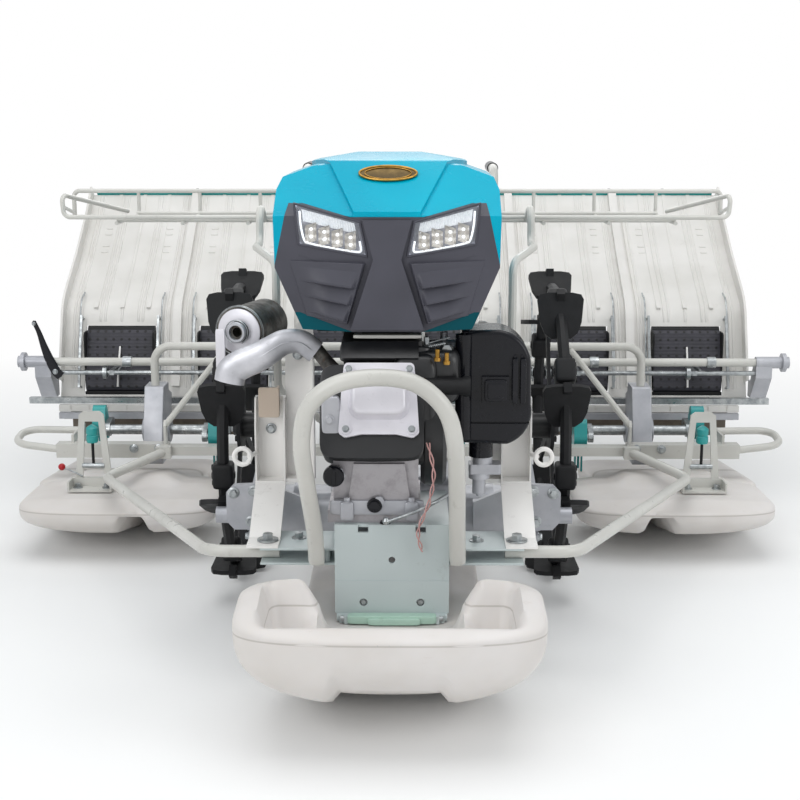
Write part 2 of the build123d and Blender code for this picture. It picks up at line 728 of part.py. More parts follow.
def tray_panels():
    """Folded sheet with hollow dividers between the rows, tall end walls and shallow stiffening ribs."""
    wall_line = [(655, 310)] + TRAY_LINE[1:]
    divider_line = [(650, 296)] + TRAY_LINE[1:]
    with BuildPart() as panels:
        add(tray_strip(-TRAY_HALF, TRAY_HALF, TRAY_SHEET).part)
        for divider in range(1, 6):
            x = (divider - 3) * ROW_PITCH
            add(tray_strip(x - DIVIDER / 2, x + DIVIDER / 2, 40, divider_line).part)
        for x in (-TRAY_HALF, TRAY_HALF - 6):
            add(tray_strip(x, x + 6, 76, wall_line).part)
        for x in ROWS_X:
            for rib in (-70, 0, 70):
                add(side_extrusion(offset_outline(TRAY_LINE[1:], 4.5, -2), x + rib - 5, x + rib + 5).part)
        for x in ROWS_X:
            add(box_between((x - 93, 560, 276), (x + 93, 800, 451)).part, mode=Mode.SUBTRACT)
    return panels


def tray():
    keep(tray_panels(), "tray_panels", TRAY_REST_X)
    low, high = (656, 296), (697, 430)
    with BuildPart() as belts:
        for x in ROWS_X:
            with BuildSketch(Plane.YZ.offset(x - BELT_WIDTH / 2)):
                with Locations(low, high):
                    Circle(BELT_ROLLER_R)
                make_hull()
            extrude(amount=BELT_WIDTH)
    keep(belts, "feed_belts", TRAY_REST_X)
    with BuildPart() as strip:
        with BuildSketch(Plane.YZ.offset(-890)):
            with Locations(Location((1109.7, 775.6), 134.6)):
                SlotOverall(30, 12)
        extrude(amount=1780)
    keep(strip, "tray_top_strip", TRAY_REST_X)
    lower, upper = TRAY_LINE[0], TRAY_LINE[1]
    slope = atan2(upper[1] - lower[1], upper[0] - lower[0])
    normal = (-sin(slope), cos(slope))
    along = (cos(slope), sin(slope))
    with BuildPart() as rods:
        for x in ROWS_X:
            for shift in (-102, 102):
                feet = [(lower[0] + along[0] * run + normal[0] * TRAY_SHEET / 2,
                         lower[1] + along[1] * run + normal[1] * TRAY_SHEET / 2) for run in (28, 212)]
                tops = [(y + normal[0] * 26, z + normal[1] * 26) for y, z in feet]
                for foot, top in zip(feet, tops):
                    add(square_bar((x + shift, *foot), (x + shift, *top), 5).part)
                ends = [(y - along[0] * 5 * s, z - along[1] * 5 * s) for (y, z), s in zip(tops, (1, -1))]
                add(square_bar((x + shift, *ends[0]), (x + shift, *ends[1]), 6).part)
    keep(rods, "mat_rods", TRAY_REST_X)
    with BuildPart() as tube:
        add(disc((0, TUBE_Y, TUBE_Z), X_AXIS, 10.5, 1810).part)
    keep(tube, "tray_tube", TRAY_REST_X)
    with BuildPart() as ends:
        for _, side in SIDES:
            add(disc((side * 947.5, TUBE_Y, TUBE_Z), X_AXIS, 15, 85).part)
            add(disc((side * 976, TUBE_Y, TUBE_Z), X_AXIS, 24, 10).part)
            low, high = sorted((side * 905, side * 946))
            arm = [(TUBE_Y - 12, TUBE_Z), (TUBE_Y + 12, TUBE_Z + 6), (608, 322), (628, 322), (628, 279),
                   (600, 279), (TUBE_Y - 12, 340)]
            add(side_extrusion(arm, low, high).part)
    keep(ends, "tray_end_brackets", TRAY_REST_X)
    with BuildPart() as shaft:
        add(disc((0, TUBE_Y, SHAFT_Z), X_AXIS, 6, 1810).part)
        for x in ROWS_X:
            add(box_between((x - 6, TUBE_Y - 6, SHAFT_Z - 6), (x + 6, 652, SHAFT_Z + 6)).part)
        for fold in range(10):
            add(disc((330 + fold * 10, TUBE_Y, SHAFT_Z), X_AXIS, 15, 5).part)
    keep(shaft, "feed_shaft", TRAY_REST_X)
    lever_path = [(-952, 452), (-930, 398), (-892, 345)]
    with BuildPart() as lever:
        for (x1, z1), (x2, z2) in zip(lever_path, lever_path[1:]):
            run = ((x2 - x1) ** 2 + (z2 - z1) ** 2) ** 0.5
            tilt = degrees(atan2(z2 - z1, x2 - x1))
            with BuildSketch(Plane.XZ.offset(-548)):
                with Locations(Location(((x1 + x2) / 2, (z1 + z2) / 2), tilt)):
                    SlotOverall(run + 15, 15)
            extrude(amount=6)
        add(disc((-892, 552, 345), Y_AXIS, 5, 8).part)
        add(box_between((-897, 546, 340), (-887, TUBE_Y - 6, 350)).part)
    keep(lever, "feed_lever", TRAY_REST_X)


# ---- Planting section -----------------------------------------------------------------------------

def planting_beam():
    """Square tube across the machine, heavier where it carries the outer planting cases."""
    inner = BEAM_HALF - 6
    with BuildPart() as beam:
        add(box_between((-560, BEAM_Y - BEAM_HALF, BEAM_Z - inner),
                        (560, BEAM_Y + BEAM_HALF, BEAM_Z + inner)).part)
        for _, side in SIDES:
            low, high = sorted((side * 558, side * 830))
            add(box_between((low, BEAM_Y - BEAM_HALF, BEAM_Z - BEAM_HALF),
                            (high, BEAM_Y + BEAM_HALF, BEAM_Z + BEAM_HALF)).part)
            plate_low, plate_high = sorted((side * 790, side * 796))
            add(box_between((plate_low, BEAM_Y, BEAM_Z - 14), (plate_high, 470, BEAM_Z + 36)).part)
            route = [(822, BEAM_Y, BEAM_Z), (938, BEAM_Y + 6, 214), (938, 452, 226), (794, 452, 224)]
            add(bent_tube([(side * x, y, z) for x, y, z in route], 18, 40).part)
    keep(beam, "planting_beam")


def planting_cases():
    """Cast columns that carry the crank shafts, each with a foot on the beam and an arm to the rails."""
    foot = [(BEAM_Y + BEAM_HALF, 160), (BEAM_Y + BEAM_HALF, 222), (402, 346), (468, 346), (480, 232),
            (460, 160)]
    arm = [(440, 346), (468, 346), (612, 290), (612, 257), (600, 257), (600, 239), (590, 239), (590, 222),
           (470, 250)]
    with BuildPart() as cases:
        for x in CASES_X:
            add(side_extrusion(foot, x - 24, x + 24).part)
            add(disc((x, CRANK_Y, CRANK_Z), X_AXIS, 32, 68).part)
            add(side_extrusion(arm, x - 6, x + 6).part)
            add(disc((x, CRANK_Y, CRANK_Z), X_AXIS, 12 + RUNNING_GAP, 80).part, mode=Mode.SUBTRACT)
    keep(cases, "planting_cases")


def crank_point(phase):
    angle = radians(CRANK_PHASE)
    return (CRANK_Y + phase * CRANK_R * cos(angle), CRANK_Z + phase * CRANK_R * sin(angle))


def planting_cranks():
    """One shaft through each case, with a web and a crank pin at both ends, half a turn apart."""
    with BuildPart() as cranks:
        for x in CASES_X:
            add(disc((x, CRANK_Y, CRANK_Z), X_AXIS, 12, 262).part)
            for row_x in (x - ROW_PITCH / 2, x + ROW_PITCH / 2):
                phase = 1 if row_x in OUTER_ARM_ROWS else -1
                y, z = crank_point(phase)
                side = 1 if row_x > x else -1
                web_x = row_x - side * 27
                with BuildSketch(Plane.YZ.offset(web_x - 6)):
                    with Locations((CRANK_Y, CRANK_Z)):
                        Circle(17)
                    with Locations((y, z)):
                        Circle(14)
                    make_hull()
                extrude(amount=12)
                add(disc((row_x - side * 4, y, z), X_AXIS, CRANK_PIN_R, 40).part)
    keep(cranks, "planting_cranks")


def planting_arm(x, phase):
    """Rounded arm case on its crank pin, with a pair of claw tines and the pusher rod between them."""
    y, z = crank_point(phase)
    with BuildPart() as arm:
        with BuildSketch(Plane.YZ.offset(x - ARM_WIDTH / 2)):
            with Locations((y, z)):
                Circle(25)
            with Locations((y - 2, z + 30)):
                Circle(15)
            with Locations((y + 16, z - 32)):
                Circle(12)
            make_hull()
        extrude(amount=ARM_WIDTH)
        add(disc((x, y - 2, z + 30), X_AXIS, 8, ARM_WIDTH + 2).part)
        for tine in (-8, 8):
            add(box_between((x + tine - 2, y + 12, z - 92), (x + tine + 2, y + 24, z - 36)).part)
        add(rod((x, y + 18, z - 84), (x, y + 18, z - 36), 6).part)
        add(disc((x, y, z), X_AXIS, CRANK_PIN_R + RUNNING_GAP, ARM_WIDTH + 10).part, mode=Mode.SUBTRACT)
    return arm


def planting_arms():
    for name, phase, rows in (("outer", 1, OUTER_ARM_ROWS), ("inner", -1, INNER_ARM_ROWS)):
        with BuildPart() as arms:
            for x in rows:
                add(planting_arm(x, phase).part)
        keep(arms, f"planting_arms_{name}")


def rear_frame():
    """Tube hoop over the planting cases, its two braces, and the rails that the tray rests on."""
    with BuildPart() as hoop:
        add(bent_tube([(-600, HOOP_FRAME_Y, 346), (-600, HOOP_FRAME_Y, 444), (600, HOOP_FRAME_Y, 444),
                       (600, HOOP_FRAME_Y, 346)], 20, 40).part)
        for _, side in SIDES:
            add(rod((side * 424, 414, 438), (side * 565, 342, 262), 15).part)
            low, high = sorted((side * 562, side * 568))
            gusset = [(330, 218), (330, 262), (340, 276), (350, 262), (356, 218)]
            add(side_extrusion(gusset, low, high).part)
    keep(hoop, "frame_hoop")
    for name, y, z, half, size in (("guide_rail", 620, 266, 970, 16), ("rib_rail", 608, 248, 890, 16),
                                   ("lower_rail", 598, 230, 888, 16)):
        with BuildPart() as rail:
            add(box_between((-half, y - size / 2, z - size / 2), (half, y + size / 2, z + size / 2)).part)
            if name == "rib_rail":
                for slot in range(36):
                    x = (slot - 17.5) * 49
                    add(box_between((x - 2, y - 9, z - 4), (x + 2, y - 5, z + 9)).part, mode=Mode.SUBTRACT)
        keep(rail, name)
    with BuildPart() as panels:
        for _, side in SIDES:
            low, high = sorted((side * 284, side * 880))
            flap = [(606, 218), (606, 222), (702, 222), (702, 155), (698, 155), (698, 218)]
            add(side_extrusion(flap, low, high).part)
    keep(panels, "mud_flaps")

# ---- Floats ---------------------------------------------------------------------------------------

def centre_float():
    """Hollow-backed planing float: a broad upturned nose with a basin behind its rim, and two skids."""
    half_plan = [(118, 680), (118, 372), (165, 340), (165, -560), (235, -680), (250, -760), (250, -860),
                 (205, NOSE_Y)]
    side_view = [(NOSE_Y, 150), (NOSE_Y, 205), (-914, 228), (-888, 238), (-800, 252), (-735, 238),
                 (-690, 190), (-640, 131), (660, 100), (680, 82), (680, 14), (660, 0), (-660, 0),
                 (-780, 56), (-880, 108)]
    front_view = [(255, 260), (255, 160), (236, 100), (200, 30), (170, -10)]
    with BuildPart() as hull:
        with BuildSketch(Plane.XY):
            with BuildLine():
                Polyline(*half_plan, *[(-x, y) for x, y in reversed(half_plan)], close=True)
            make_face()
            fillet(vertices().group_by(Axis.Y)[0], 70)
            fillet(vertices().group_by(Axis.Y)[-1], 30)
        extrude(amount=270)
        add(side_extrusion(side_view, -260, 260).part, mode=Mode.INTERSECT)
        add(front_extrusion(symmetric(front_view), -1000, 800).part, mode=Mode.INTERSECT)
        basin = [(-868, 186), (-868, 300), (-650, 300), (-650, 150), (-800, 146)]
        with BuildPart(mode=Mode.PRIVATE) as pocket:
            add(side_extrusion(basin, -200, 200).part)
            fillet(pocket.edges().filter_by(Axis.Z), 20)
        add(pocket.part, mode=Mode.SUBTRACT)
        channel = [(-940, -5), (-940, 150), (-900, 130), (-780, 68), (-660, 10), (700, 10), (700, -5)]
        add(side_extrusion(channel, -88, 88).part, mode=Mode.SUBTRACT)
    keep(hull, "centre_float")


def side_float(side):
    """Twin-lobed float with a raised middle and gaps behind for the planting claws."""
    hull_side = [(62, 128), (74, 140), (110, SIDE_FLOAT_TOP), (260, SIDE_FLOAT_TOP), (400, 120), (640, 96),
                 (690, 84), (690, 20), (668, 0), (362, 0), (250, 34), (100, 80), (72, 104)]
    mound_side = [(214, 100), (214, 142), (252, 166), (322, 166), (362, 150), (640, 112), (640, 80)]
    plan = [(SIDE_FLOAT_IN, 104), (SIDE_FLOAT_IN, 380), (482, 380), (482, 690), (718, 690), (718, 384),
            (782, 384), (782, 690), (SIDE_FLOAT_OUT, 690), (SIDE_FLOAT_OUT, 104), (SIDE_FLOAT_OUT - 40, 62),
            (SIDE_FLOAT_IN + 40, 62)]
    with BuildPart() as hull:
        low, high = sorted((side * 400, side * 880))
        add(side_extrusion(hull_side, low, high).part)
        low, high = sorted((side * 440, side * 836))
        add(side_extrusion(mound_side, low, high).part)
        with BuildSketch(Plane.XY):
            with BuildLine():
                Polyline(*[(side * x, y) for x, y in plan], close=True)
            make_face()
        extrude(amount=200, mode=Mode.INTERSECT)
        between_lobes = [(560, -10), (578, 46), (630, 46), (640, -10)]
        add(front_extrusion([(side * x, z) for x, z in between_lobes], -40, 700).part, mode=Mode.SUBTRACT)
    return hull


def floats():
    centre_float()
    for name, side in SIDES:
        keep(side_float(side), f"side_float_{name}")
    with BuildPart() as link:
        add(box_between((-92, -634, CENTRE_DECK_Z), (92, -612, 145)).part)
        for x in (-80, 80):
            add(disc((x, -623, 138), X_AXIS, 7, 34).part)
            add(box_between((x - 3, -640, 131), (x + 3, -600, 145)).part)
    keep(link, "float_link")
    base = SIDE_FLOAT_TOP
    with BuildPart() as masts:
        for _, side in SIDES:
            outline = [(-43, base + 14), (-29, 318), (-19, 326), (19, 326), (29, 318), (43, base + 14)]
            window = [(-27, base), (-16, 302), (16, 302), (27, base)]
            with BuildSketch(Plane.XZ.offset(-211)):
                with BuildLine():
                    Polyline(*[(side * (MAST_X + x), z) for x, z in outline], close=True)
                make_face()
                with BuildLine():
                    Polyline(*[(side * (MAST_X + x), z) for x, z in window], close=True)
                make_face(mode=Mode.SUBTRACT)
            extrude(amount=6)
            low, high = sorted((side * (MAST_X - 50), side * (MAST_X + 52)))
            add(box_between((low, 158, base), (high, 213, base + 4)).part)
            for x in (low, high - 4):
                add(box_between((x, 158, base), (x + 4, 213, base + 24)).part)
            add(box_between((low + 2, 198, base + 2), (high - 2, 212, base + 24)).part)
    keep(masts, "float_masts")


# ---- Rack and handles -----------------------------------------------------------------------------

def mat_rack():
    """Welded rod basket for spare seedling mats, on two bent legs from the drive case."""
    front_y, rear_y = 0.0, 250.0
    front_z, rear_z, floor_z = 791.0, 832.0, 778.0
    with BuildPart() as rack:
        ends = [(-616, rear_y, 786), (-703, front_y, 838), (-700, front_y, front_z)]
        add(bent_tube(ends + [mirrored(p) for p in reversed(ends)], 10, 14).part)
        back = [(-738, rear_y, floor_z), (-738, rear_y, rear_z)]
        add(bent_tube(back + [mirrored(p) for p in reversed(back)], 10, 14).part)
        for x in (-590, -450, -312, 312, 450, 590):
            add(bent_tube([(x, rear_y, rear_z), (x, rear_y, floor_z), (x, front_y, floor_z)], 8, 12).part)
        for y in (16, 120, rear_y - 18):
            add(rod((-592, y, floor_z + 5), (592, y, floor_z + 5), 8).part)
        for x in (-1, 1):
            add(rod((x * 738, rear_y, floor_z + 4), (x * 702, front_y, front_z + 22), 8).part)
        for side in (1, -1):
            route = [(90, -240, 334), (90, -240, 366), (231, -240, 470), (231, -240, 722), (279, -150, 742),
                     (279, -74, 742), (279, -70, 826), (279, 10, 786)]
            add(bent_tube([(side * x, y, z) for x, y, z in route], 16, 26).part)
            low, high = sorted((side * 66, side * 114))
            add(box_between((low, -262, 330), (high, -218, 336)).part)
    keep(rack, "mat_rack")


def handle_frame():
    """Welded tube frame: two handlebars, the cross bar for the console and the tray's rear stand."""
    with BuildPart() as frame:
        for side in (1, -1):
            route = [(230, BEAM_Y + BEAM_HALF, 201), (230, 430, 201), (236, 600, 186), (250, 900, 250),
                     (280, 1250, GRIP_Z), (280, GRIP_END_Y - 130, GRIP_Z)]
            add(bent_tube([(side * x, y, z) for x, y, z in route], 28, 90).part)
            foot_low, foot_high = sorted((side * 226, side * 262))
            add(box_between((foot_low, 786, 208), (foot_high, 822, 236)).part)
            bar_low, bar_high = sorted((side * 240, side * 262))
            for y, z in (CONSOLE_BAR, (1150, 690)):
                add(box_between((bar_low, y - 16, z - 14), (bar_high, y + 4, z + 14)).part)
        y, z = CONSOLE_BAR
        add(disc((0, y - 8, z), X_AXIS, 12, 490).part)
        add(disc((0, 1142, 690), X_AXIS, 12, 490).part)
        stand = [(-243, 804, 222), (-243, 952, 580), (243, 952, 580), (243, 804, 222)]
        add(bent_tube(stand, 22, 40).part)
    keep(frame, "handle_frame")
    with BuildPart() as grips:
        for side in (1, -1):
            add(disc((side * 280, GRIP_END_Y - 65, GRIP_Z), Y_AXIS, 17, 130).part)
    keep(grips, "handle_grips")
    with BuildPart() as console:
        side_view = [(1180, 800), (1176, 822), (1206, 852), (1290, 834), (1304, 800)]
        add(side_extrusion(side_view, -130, 130).part)
        chamfer(console.edges().filter_by(Axis.X), 6)
        add(box_between((-100, 1184, z), (100, 1200, z + 12)).part)
        add(disc((0, y - 8, z), X_AXIS, 12, 320).part, mode=Mode.SUBTRACT)
    keep(console, "console")
    with BuildPart() as levers:
        for x in (-80, 0, 80):
            add(rod((x, 1302, 818), (x, 1345, 832), 9).part)
            with BuildSketch(Plane(origin=(x, 1340, 830.4), z_dir=(0, 43, 14))):
                Circle(12)
            extrude(amount=26, taper=8)
    keep(levers, "control_levers")


def main():
    os.makedirs("parts", exist_ok=True)
    wheels()
    swing_cases()
    engine_frame()
    outrigger_plates()
    bumper_hoop()
    transmission()
    hood_stays()
    side_guards()
    engine_block()
    valve_cover()
    engine_shroud()
    air_cleaner()
    carburettor()
    fuel_strainer()
    fuel_tank()
    exhaust()
    exhaust_shroud()
    hood()
    tray()
    planting_beam()
    planting_cases()
    planting_cranks()
    planting_arms()
    rear_frame()
    floats()
    mat_rack()
    handle_frame()


main()
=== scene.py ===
"""Looks of a six-row walk-behind rice transplanter, in metres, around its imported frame.

The machine faces -Y, its left side is +X and it stands on z = 0. CAD nodes keep their meshes and get
finishes here; what a workshop would mould, cast or fit on top of them is worked out below with numpy.
"""

import json
import math

import bmesh
import bpy
import numpy as np
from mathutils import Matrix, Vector

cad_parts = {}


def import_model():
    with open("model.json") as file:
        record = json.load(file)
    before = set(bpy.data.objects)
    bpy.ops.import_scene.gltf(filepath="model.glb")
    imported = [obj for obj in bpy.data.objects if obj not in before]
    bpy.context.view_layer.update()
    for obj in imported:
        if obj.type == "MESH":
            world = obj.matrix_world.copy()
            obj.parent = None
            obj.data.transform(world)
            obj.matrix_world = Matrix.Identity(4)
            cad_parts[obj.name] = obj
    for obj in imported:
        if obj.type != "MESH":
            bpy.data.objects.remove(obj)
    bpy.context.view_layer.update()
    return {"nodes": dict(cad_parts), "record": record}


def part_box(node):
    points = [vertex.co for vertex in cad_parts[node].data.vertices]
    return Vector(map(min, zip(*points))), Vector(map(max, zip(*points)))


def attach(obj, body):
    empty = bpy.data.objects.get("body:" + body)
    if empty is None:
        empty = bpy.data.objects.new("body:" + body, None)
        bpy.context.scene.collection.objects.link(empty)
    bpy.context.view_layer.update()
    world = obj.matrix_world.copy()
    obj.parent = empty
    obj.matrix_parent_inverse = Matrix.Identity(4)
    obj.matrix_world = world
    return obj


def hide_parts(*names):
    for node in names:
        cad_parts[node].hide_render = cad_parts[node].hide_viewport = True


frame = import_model()

X, Y, Z = np.eye(3)
SIDES = ((1, "left_wheel"), (-1, "right_wheel"))

# Places taken from the frame, in metres
WHEEL_LOW, WHEEL_HIGH = (np.array(corner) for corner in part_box("wheel_left"))
AXLE_LOW, AXLE_HIGH = (np.array(corner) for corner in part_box("wheel_axles"))
AXLE = (AXLE_LOW + AXLE_HIGH) / 2
TRACK_X = (WHEEL_LOW[0] + WHEEL_HIGH[0]) / 2
LUGS, FIRST_LUG_DEG, RIM_R, HUB_BOLT_R = 9, 26.4, 0.297, 0.034

HOOD_X = -0.008
HOOD_FRONT_Y, HOOD_FRONT_LEAN = -0.821, 0.07
HOOD_FOOT_Z = 0.636


# ---- Colours and node trees -----------------------------------------------------------------------

def colour(code):
    """An sRGB hex code as linear red, green, blue and alpha."""
    channels = np.array([int(code[i:i + 2], 16) for i in (0, 2, 4)]) / 255
    linear = np.where(channels <= 0.04045, channels / 12.92, ((channels + 0.055) / 1.055) ** 2.4)
    return (*linear.tolist(), 1.0)


def fill(tree, node, sockets):
    """Sets a node's sockets, by name or in order, to values or links; a node stands for its first output."""
    pairs = sockets.items() if isinstance(sockets, dict) else enumerate(sockets)
    for key, value in pairs:
        source = value.outputs[0] if isinstance(value, bpy.types.Node) else value
        if isinstance(source, bpy.types.NodeSocket):
            tree.links.new(source, node.inputs[key])
        else:
            node.inputs[key].default_value = source


def add(tree, kind, sockets=None, **settings):
    """Adds a node with its settings, values and links."""
    made = tree.nodes.new("ShaderNode" + kind)
    for name, value in settings.items():
        setattr(made, name, value)
    fill(tree, made, sockets or {})
    return made


def started(name):
    """A new material with its tree, its shader and its Object coordinates."""
    material = bpy.data.materials.new(name)
    material.use_nodes = True
    tree = material.node_tree
    tree.nodes.clear()
    shader = add(tree, "BsdfPrincipled")
    add(tree, "OutputMaterial", {"Surface": shader})
    return material, tree, shader, add(tree, "TexCoord").outputs["Object"]


def toned(tree, pattern, low, high, first, second, most=1.0):
    """Turns from a first colour where a pattern is low to a second, at most by a share, where it is high."""
    first, second = (colour(c) if isinstance(c, str) else c for c in (first, second))
    share = add(tree, "MapRange", (pattern, low, high, 0.0, most))
    return add(tree, "Mix", {0: share, 6: first, 7: second}, data_type="RGBA").outputs[2]


def fractal(place, size_mm, detail, roughness=0.5):
    """What a fractal noise needs for patches size_mm wide."""
    return {"Vector": place, "Scale": 1000 / size_mm, "Detail": detail, "Roughness": roughness}


def grained(tree, shader, place, size_mm, detail, strength, depth_mm):
    """Covers a shader in fine relief with grains size_mm across and depth_mm deep."""
    grain = add(tree, "TexNoise", fractal(place, size_mm, detail))
    relief = add(tree, "Bump", {"Height": grain, "Strength": strength, "Distance": depth_mm / 1000})
    fill(tree, shader, {"Normal": relief})


# ---- Surfaces -------------------------------------------------------------------------------------

def quads(rows, columns, round_rows, round_columns):
    """Corner numbers of a grid's quads; a grid that is closed round joins its last line to its first."""
    row, column = np.meshgrid(np.arange(rows if round_rows else rows - 1),
                              np.arange(columns if round_columns else columns - 1), indexing="ij")
    next_row, next_column = (row + 1) % rows, (column + 1) % columns
    ring = (row * columns + column, row * columns + next_column, next_row * columns + next_column,
            next_row * columns + column)
    return np.stack(ring, -1).reshape(-1, 4)


def piece(name, grids, body, slot, finish=None, stands_for=(), sharp_deg=38.0):
    """One object from grids (points, closed over rows, closed over columns); it rides on a body."""
    corners, faces, start = [], [], 0
    for points, round_rows, round_columns in grids:
        rows, columns = points.shape[:2]
        corners.append(points.reshape(-1, 3))
        faces.append(quads(rows, columns, round_rows, round_columns) + start)
        start += rows * columns
    mesh = bpy.data.meshes.new(name)
    mesh.from_pydata(np.concatenate(corners).tolist(), [], np.concatenate(faces).tolist())
    shape = bmesh.new()
    shape.from_mesh(mesh)
    bmesh.ops.remove_doubles(shape, verts=shape.verts, dist=1e-6)
    bmesh.ops.recalc_face_normals(shape, faces=shape.faces)
    shape.to_mesh(mesh)
    shape.free()
    mesh.shade_smooth()
    mesh.set_sharp_from_angle(angle=math.radians(sharp_deg))
    obj = bpy.data.objects.new(name, mesh)
    bpy.context.collection.objects.link(obj)
    mesh.materials.append(finish or FINISHES[slot])
    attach(obj, body)
    if stands_for:
        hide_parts(*stands_for)
    return obj


def radial(degrees):
    """A direction square to X: 0 degrees points along Y and 90 up."""
    turn = math.radians(degrees)
    return np.array([0, math.cos(turn), math.sin(turn)])


def crossways(axis):
    """Two directions square to an axis and to each other."""
    axis = np.asarray(axis, float) / np.linalg.norm(axis)
    helper = Z if abs(axis[2]) < 0.9 else X
    first = np.cross(helper, axis)
    first /= np.linalg.norm(first)
    return axis, first, np.cross(axis, first)


def turned(profile, centre, axis, sides=28, squash=1.0):
    """Revolved profile of (along, radius) rows: centre + along * axis + radius * (cos t, squash * sin t)."""
    axis, first, second = crossways(axis)
    along, radius = np.array(profile, float).T
    turn = np.linspace(0, 2 * np.pi, sides, endpoint=False)
    ring = np.cos(turn)[:, None] * first + squash * np.sin(turn)[:, None] * second
    points = np.asarray(centre) + along[:, None, None] * axis + radius[:, None, None] * ring
    return points, False, True


def smooth_step(value, low, high):
    """0 below low, 1 above high and 3 t^2 - 2 t^3 between."""
    t = np.clip((value - low) / (high - low), 0, 1)
    return t * t * (3 - 2 * t)


def smoothed(knots, samples):
    """Points spread evenly by knot number along a Catmull-Rom curve through the knots."""
    knots = np.array(knots, float)
    ends = np.concatenate([[2 * knots[0] - knots[1]], knots, [2 * knots[-1] - knots[-2]]])
    place = np.linspace(0, len(knots) - 1 - 1e-9, samples)
    first = place.astype(int)
    t = (place - first)[:, None]
    a, b, c, d = (ends[first + shift] for shift in range(4))
    bend, swing = 2 * a - 5 * b + 4 * c - d, 3 * b - a - 3 * c + d
    return 0.5 * (2 * b + (c - a) * t + bend * t ** 2 + swing * t ** 3)


def tube(path, radius, sides=12, up=Z, round_path=False):
    """A ring carried along a path: path + radius * (cos t * n + sin t * b), n and b square to the path."""
    path = np.asarray(path, float)
    ahead, behind = np.roll(path, -1, 0), np.roll(path, 1, 0)
    if not round_path:
        ahead[-1], behind[0] = path[-1], path[0]
    tangent = ahead - behind
    tangent /= np.linalg.norm(tangent, axis=1)[:, None]
    sideways = np.cross(tangent, up)
    sideways /= np.linalg.norm(sideways, axis=1)[:, None]
    rise = np.cross(sideways, tangent)
    turn = np.linspace(0, 2 * np.pi, sides, endpoint=False)
    size = np.broadcast_to(np.asarray(radius, float), len(path))[:, None, None]
    ring = np.cos(turn)[None, :, None] * sideways[:, None] + np.sin(turn)[None, :, None] * rise[:, None]
    return path[:, None] + size * ring, round_path, True


def rolled(value, power):
    """sign(v) |v|^power, which flattens a circle's cosine and sine towards a square."""
    return np.sign(value) * np.abs(value) ** power


def block(centre, half, power=0.25, first=X, second=Y, rows=15, sides=28):
    """A rounded block, a superellipsoid of three half sizes: rolled cosines and sines of rise and turn."""
    second = np.asarray(second, float)
    third = np.cross(first, second)
    rise = np.linspace(-np.pi / 2, np.pi / 2, rows)[:, None]
    turn = np.linspace(0, 2 * np.pi, sides, endpoint=False)[None, :]
    level = rolled(np.cos(rise), power)
    a = half[0] * level * rolled(np.cos(turn), power)
    b = half[1] * level * rolled(np.sin(turn), power)
    c = half[2] * rolled(np.sin(rise), power) * np.ones_like(turn)
    points = np.asarray(centre) + a[..., None] * first + b[..., None] * second + c[..., None] * third
    return points, False, True


def peg(radius, length, centre, axis, sides=24):
    """A plain round bar or disc with flat ends, from its centre of one end along an axis."""
    return turned([(0, 0), (0, radius), (length, radius), (length, 0)], centre, axis, sides)


def bolt(centre, axis, across=0.012, washer=0.0, head=0.007):
    """A flanged or washered hexagon head: a flat ring under a six-sided head with a chamfered top."""
    ring = washer or across * 0.62
    lift = 0.0022 if washer else 0.0012
    collar = turned([(0, 0), (0, ring), (lift * 0.8, ring), (lift, ring - 0.0006), (lift, 0)],
                    centre, axis)
    half = across / 2 / math.cos(math.pi / 6)
    top = lift + head
    hexagon = turned([(lift * 0.5, 0), (lift * 0.5, half), (top - 0.0012, half), (top, half * 0.86),
                      (top, 0)], centre, axis, 6)
    return [collar, hexagon]


# ---- Finishes -------------------------------------------------------------------------------------

def layered(name, tone, stain, sheen, grain, constants):
    """A finish in layers: patches of two tones, a stain over them, a sheen and fine relief.

    A pattern is the width of its patches in millimetres, its detail and its roughness.  The tone is a
    pattern, its low, its high and two colours; the stain is the same with one colour and its greatest share.
    The sheen is low, high and the roughness at each; it follows the last pattern, unless one of its own
    comes first.
    """
    material, tree, shader, place = started(name)
    pattern = add(tree, "TexNoise", fractal(place, *tone[:3]))
    surface = toned(tree, pattern, *tone[3:])
    if stain:
        pattern = add(tree, "TexNoise", fractal(place, *stain[:3]))
        surface = toned(tree, pattern, *stain[3:5], surface, *stain[5:])
    if sheen[:-4]:
        pattern = add(tree, "TexNoise", fractal(place, *sheen[:-4]))
    rough = add(tree, "MapRange", (pattern, *sheen[-4:]))
    fill(tree, shader, {"Base Color": surface, "Roughness": rough, **constants})
    grained(tree, shader, place, *grain)
    return material


def enamel(name, base, shade, grime="6E675A", gloss=0.32, grime_share=0.25):
    """Sprayed enamel on steel: orange peel a few millimetres wide, a soft coat and a little settled dust."""
    return layered(name, (180, 2.0, 0.5, 0.35, 0.65, base, shade),
                   (26, 6.0, 0.65, 0.62, 0.78, grime, grime_share),
                   (0.3, 0.75, gloss - 0.05, gloss + 0.16), (5, 2.0, 0.12, 0.25),
                   {"Coat Weight": 0.25, "Coat Roughness": 0.2})


def zinc_plate(name, base="B9BDBE", shade="84898C"):
    """Bright zinc plating on steel: fine drawn grain and cloudy passivation."""
    return layered(name, (14, 5.0, 0.6, 0.35, 0.7, base, shade), None, (0.3, 0.7, 0.24, 0.42),
                   (1.2, 2.0, 0.15, 0.1), {"Metallic": 0.92})


def cast_aluminium(name, base="B9BABF", shade="A2A4AA", stain_share=0.22, metal=0.5):
    """Die-cast aluminium: shot-blasted grain about a millimetre wide, and a little oily dirt in the pores."""
    return layered(name, (90, 4.0, 0.55, 0.35, 0.65, base, shade),
                   (12, 8.0, 0.72, 0.6, 0.76, "4B4640", stain_share), (0.3, 0.75, 0.32, 0.52),
                   (1.4, 3.0, 0.3, 0.25), {"Metallic": metal})


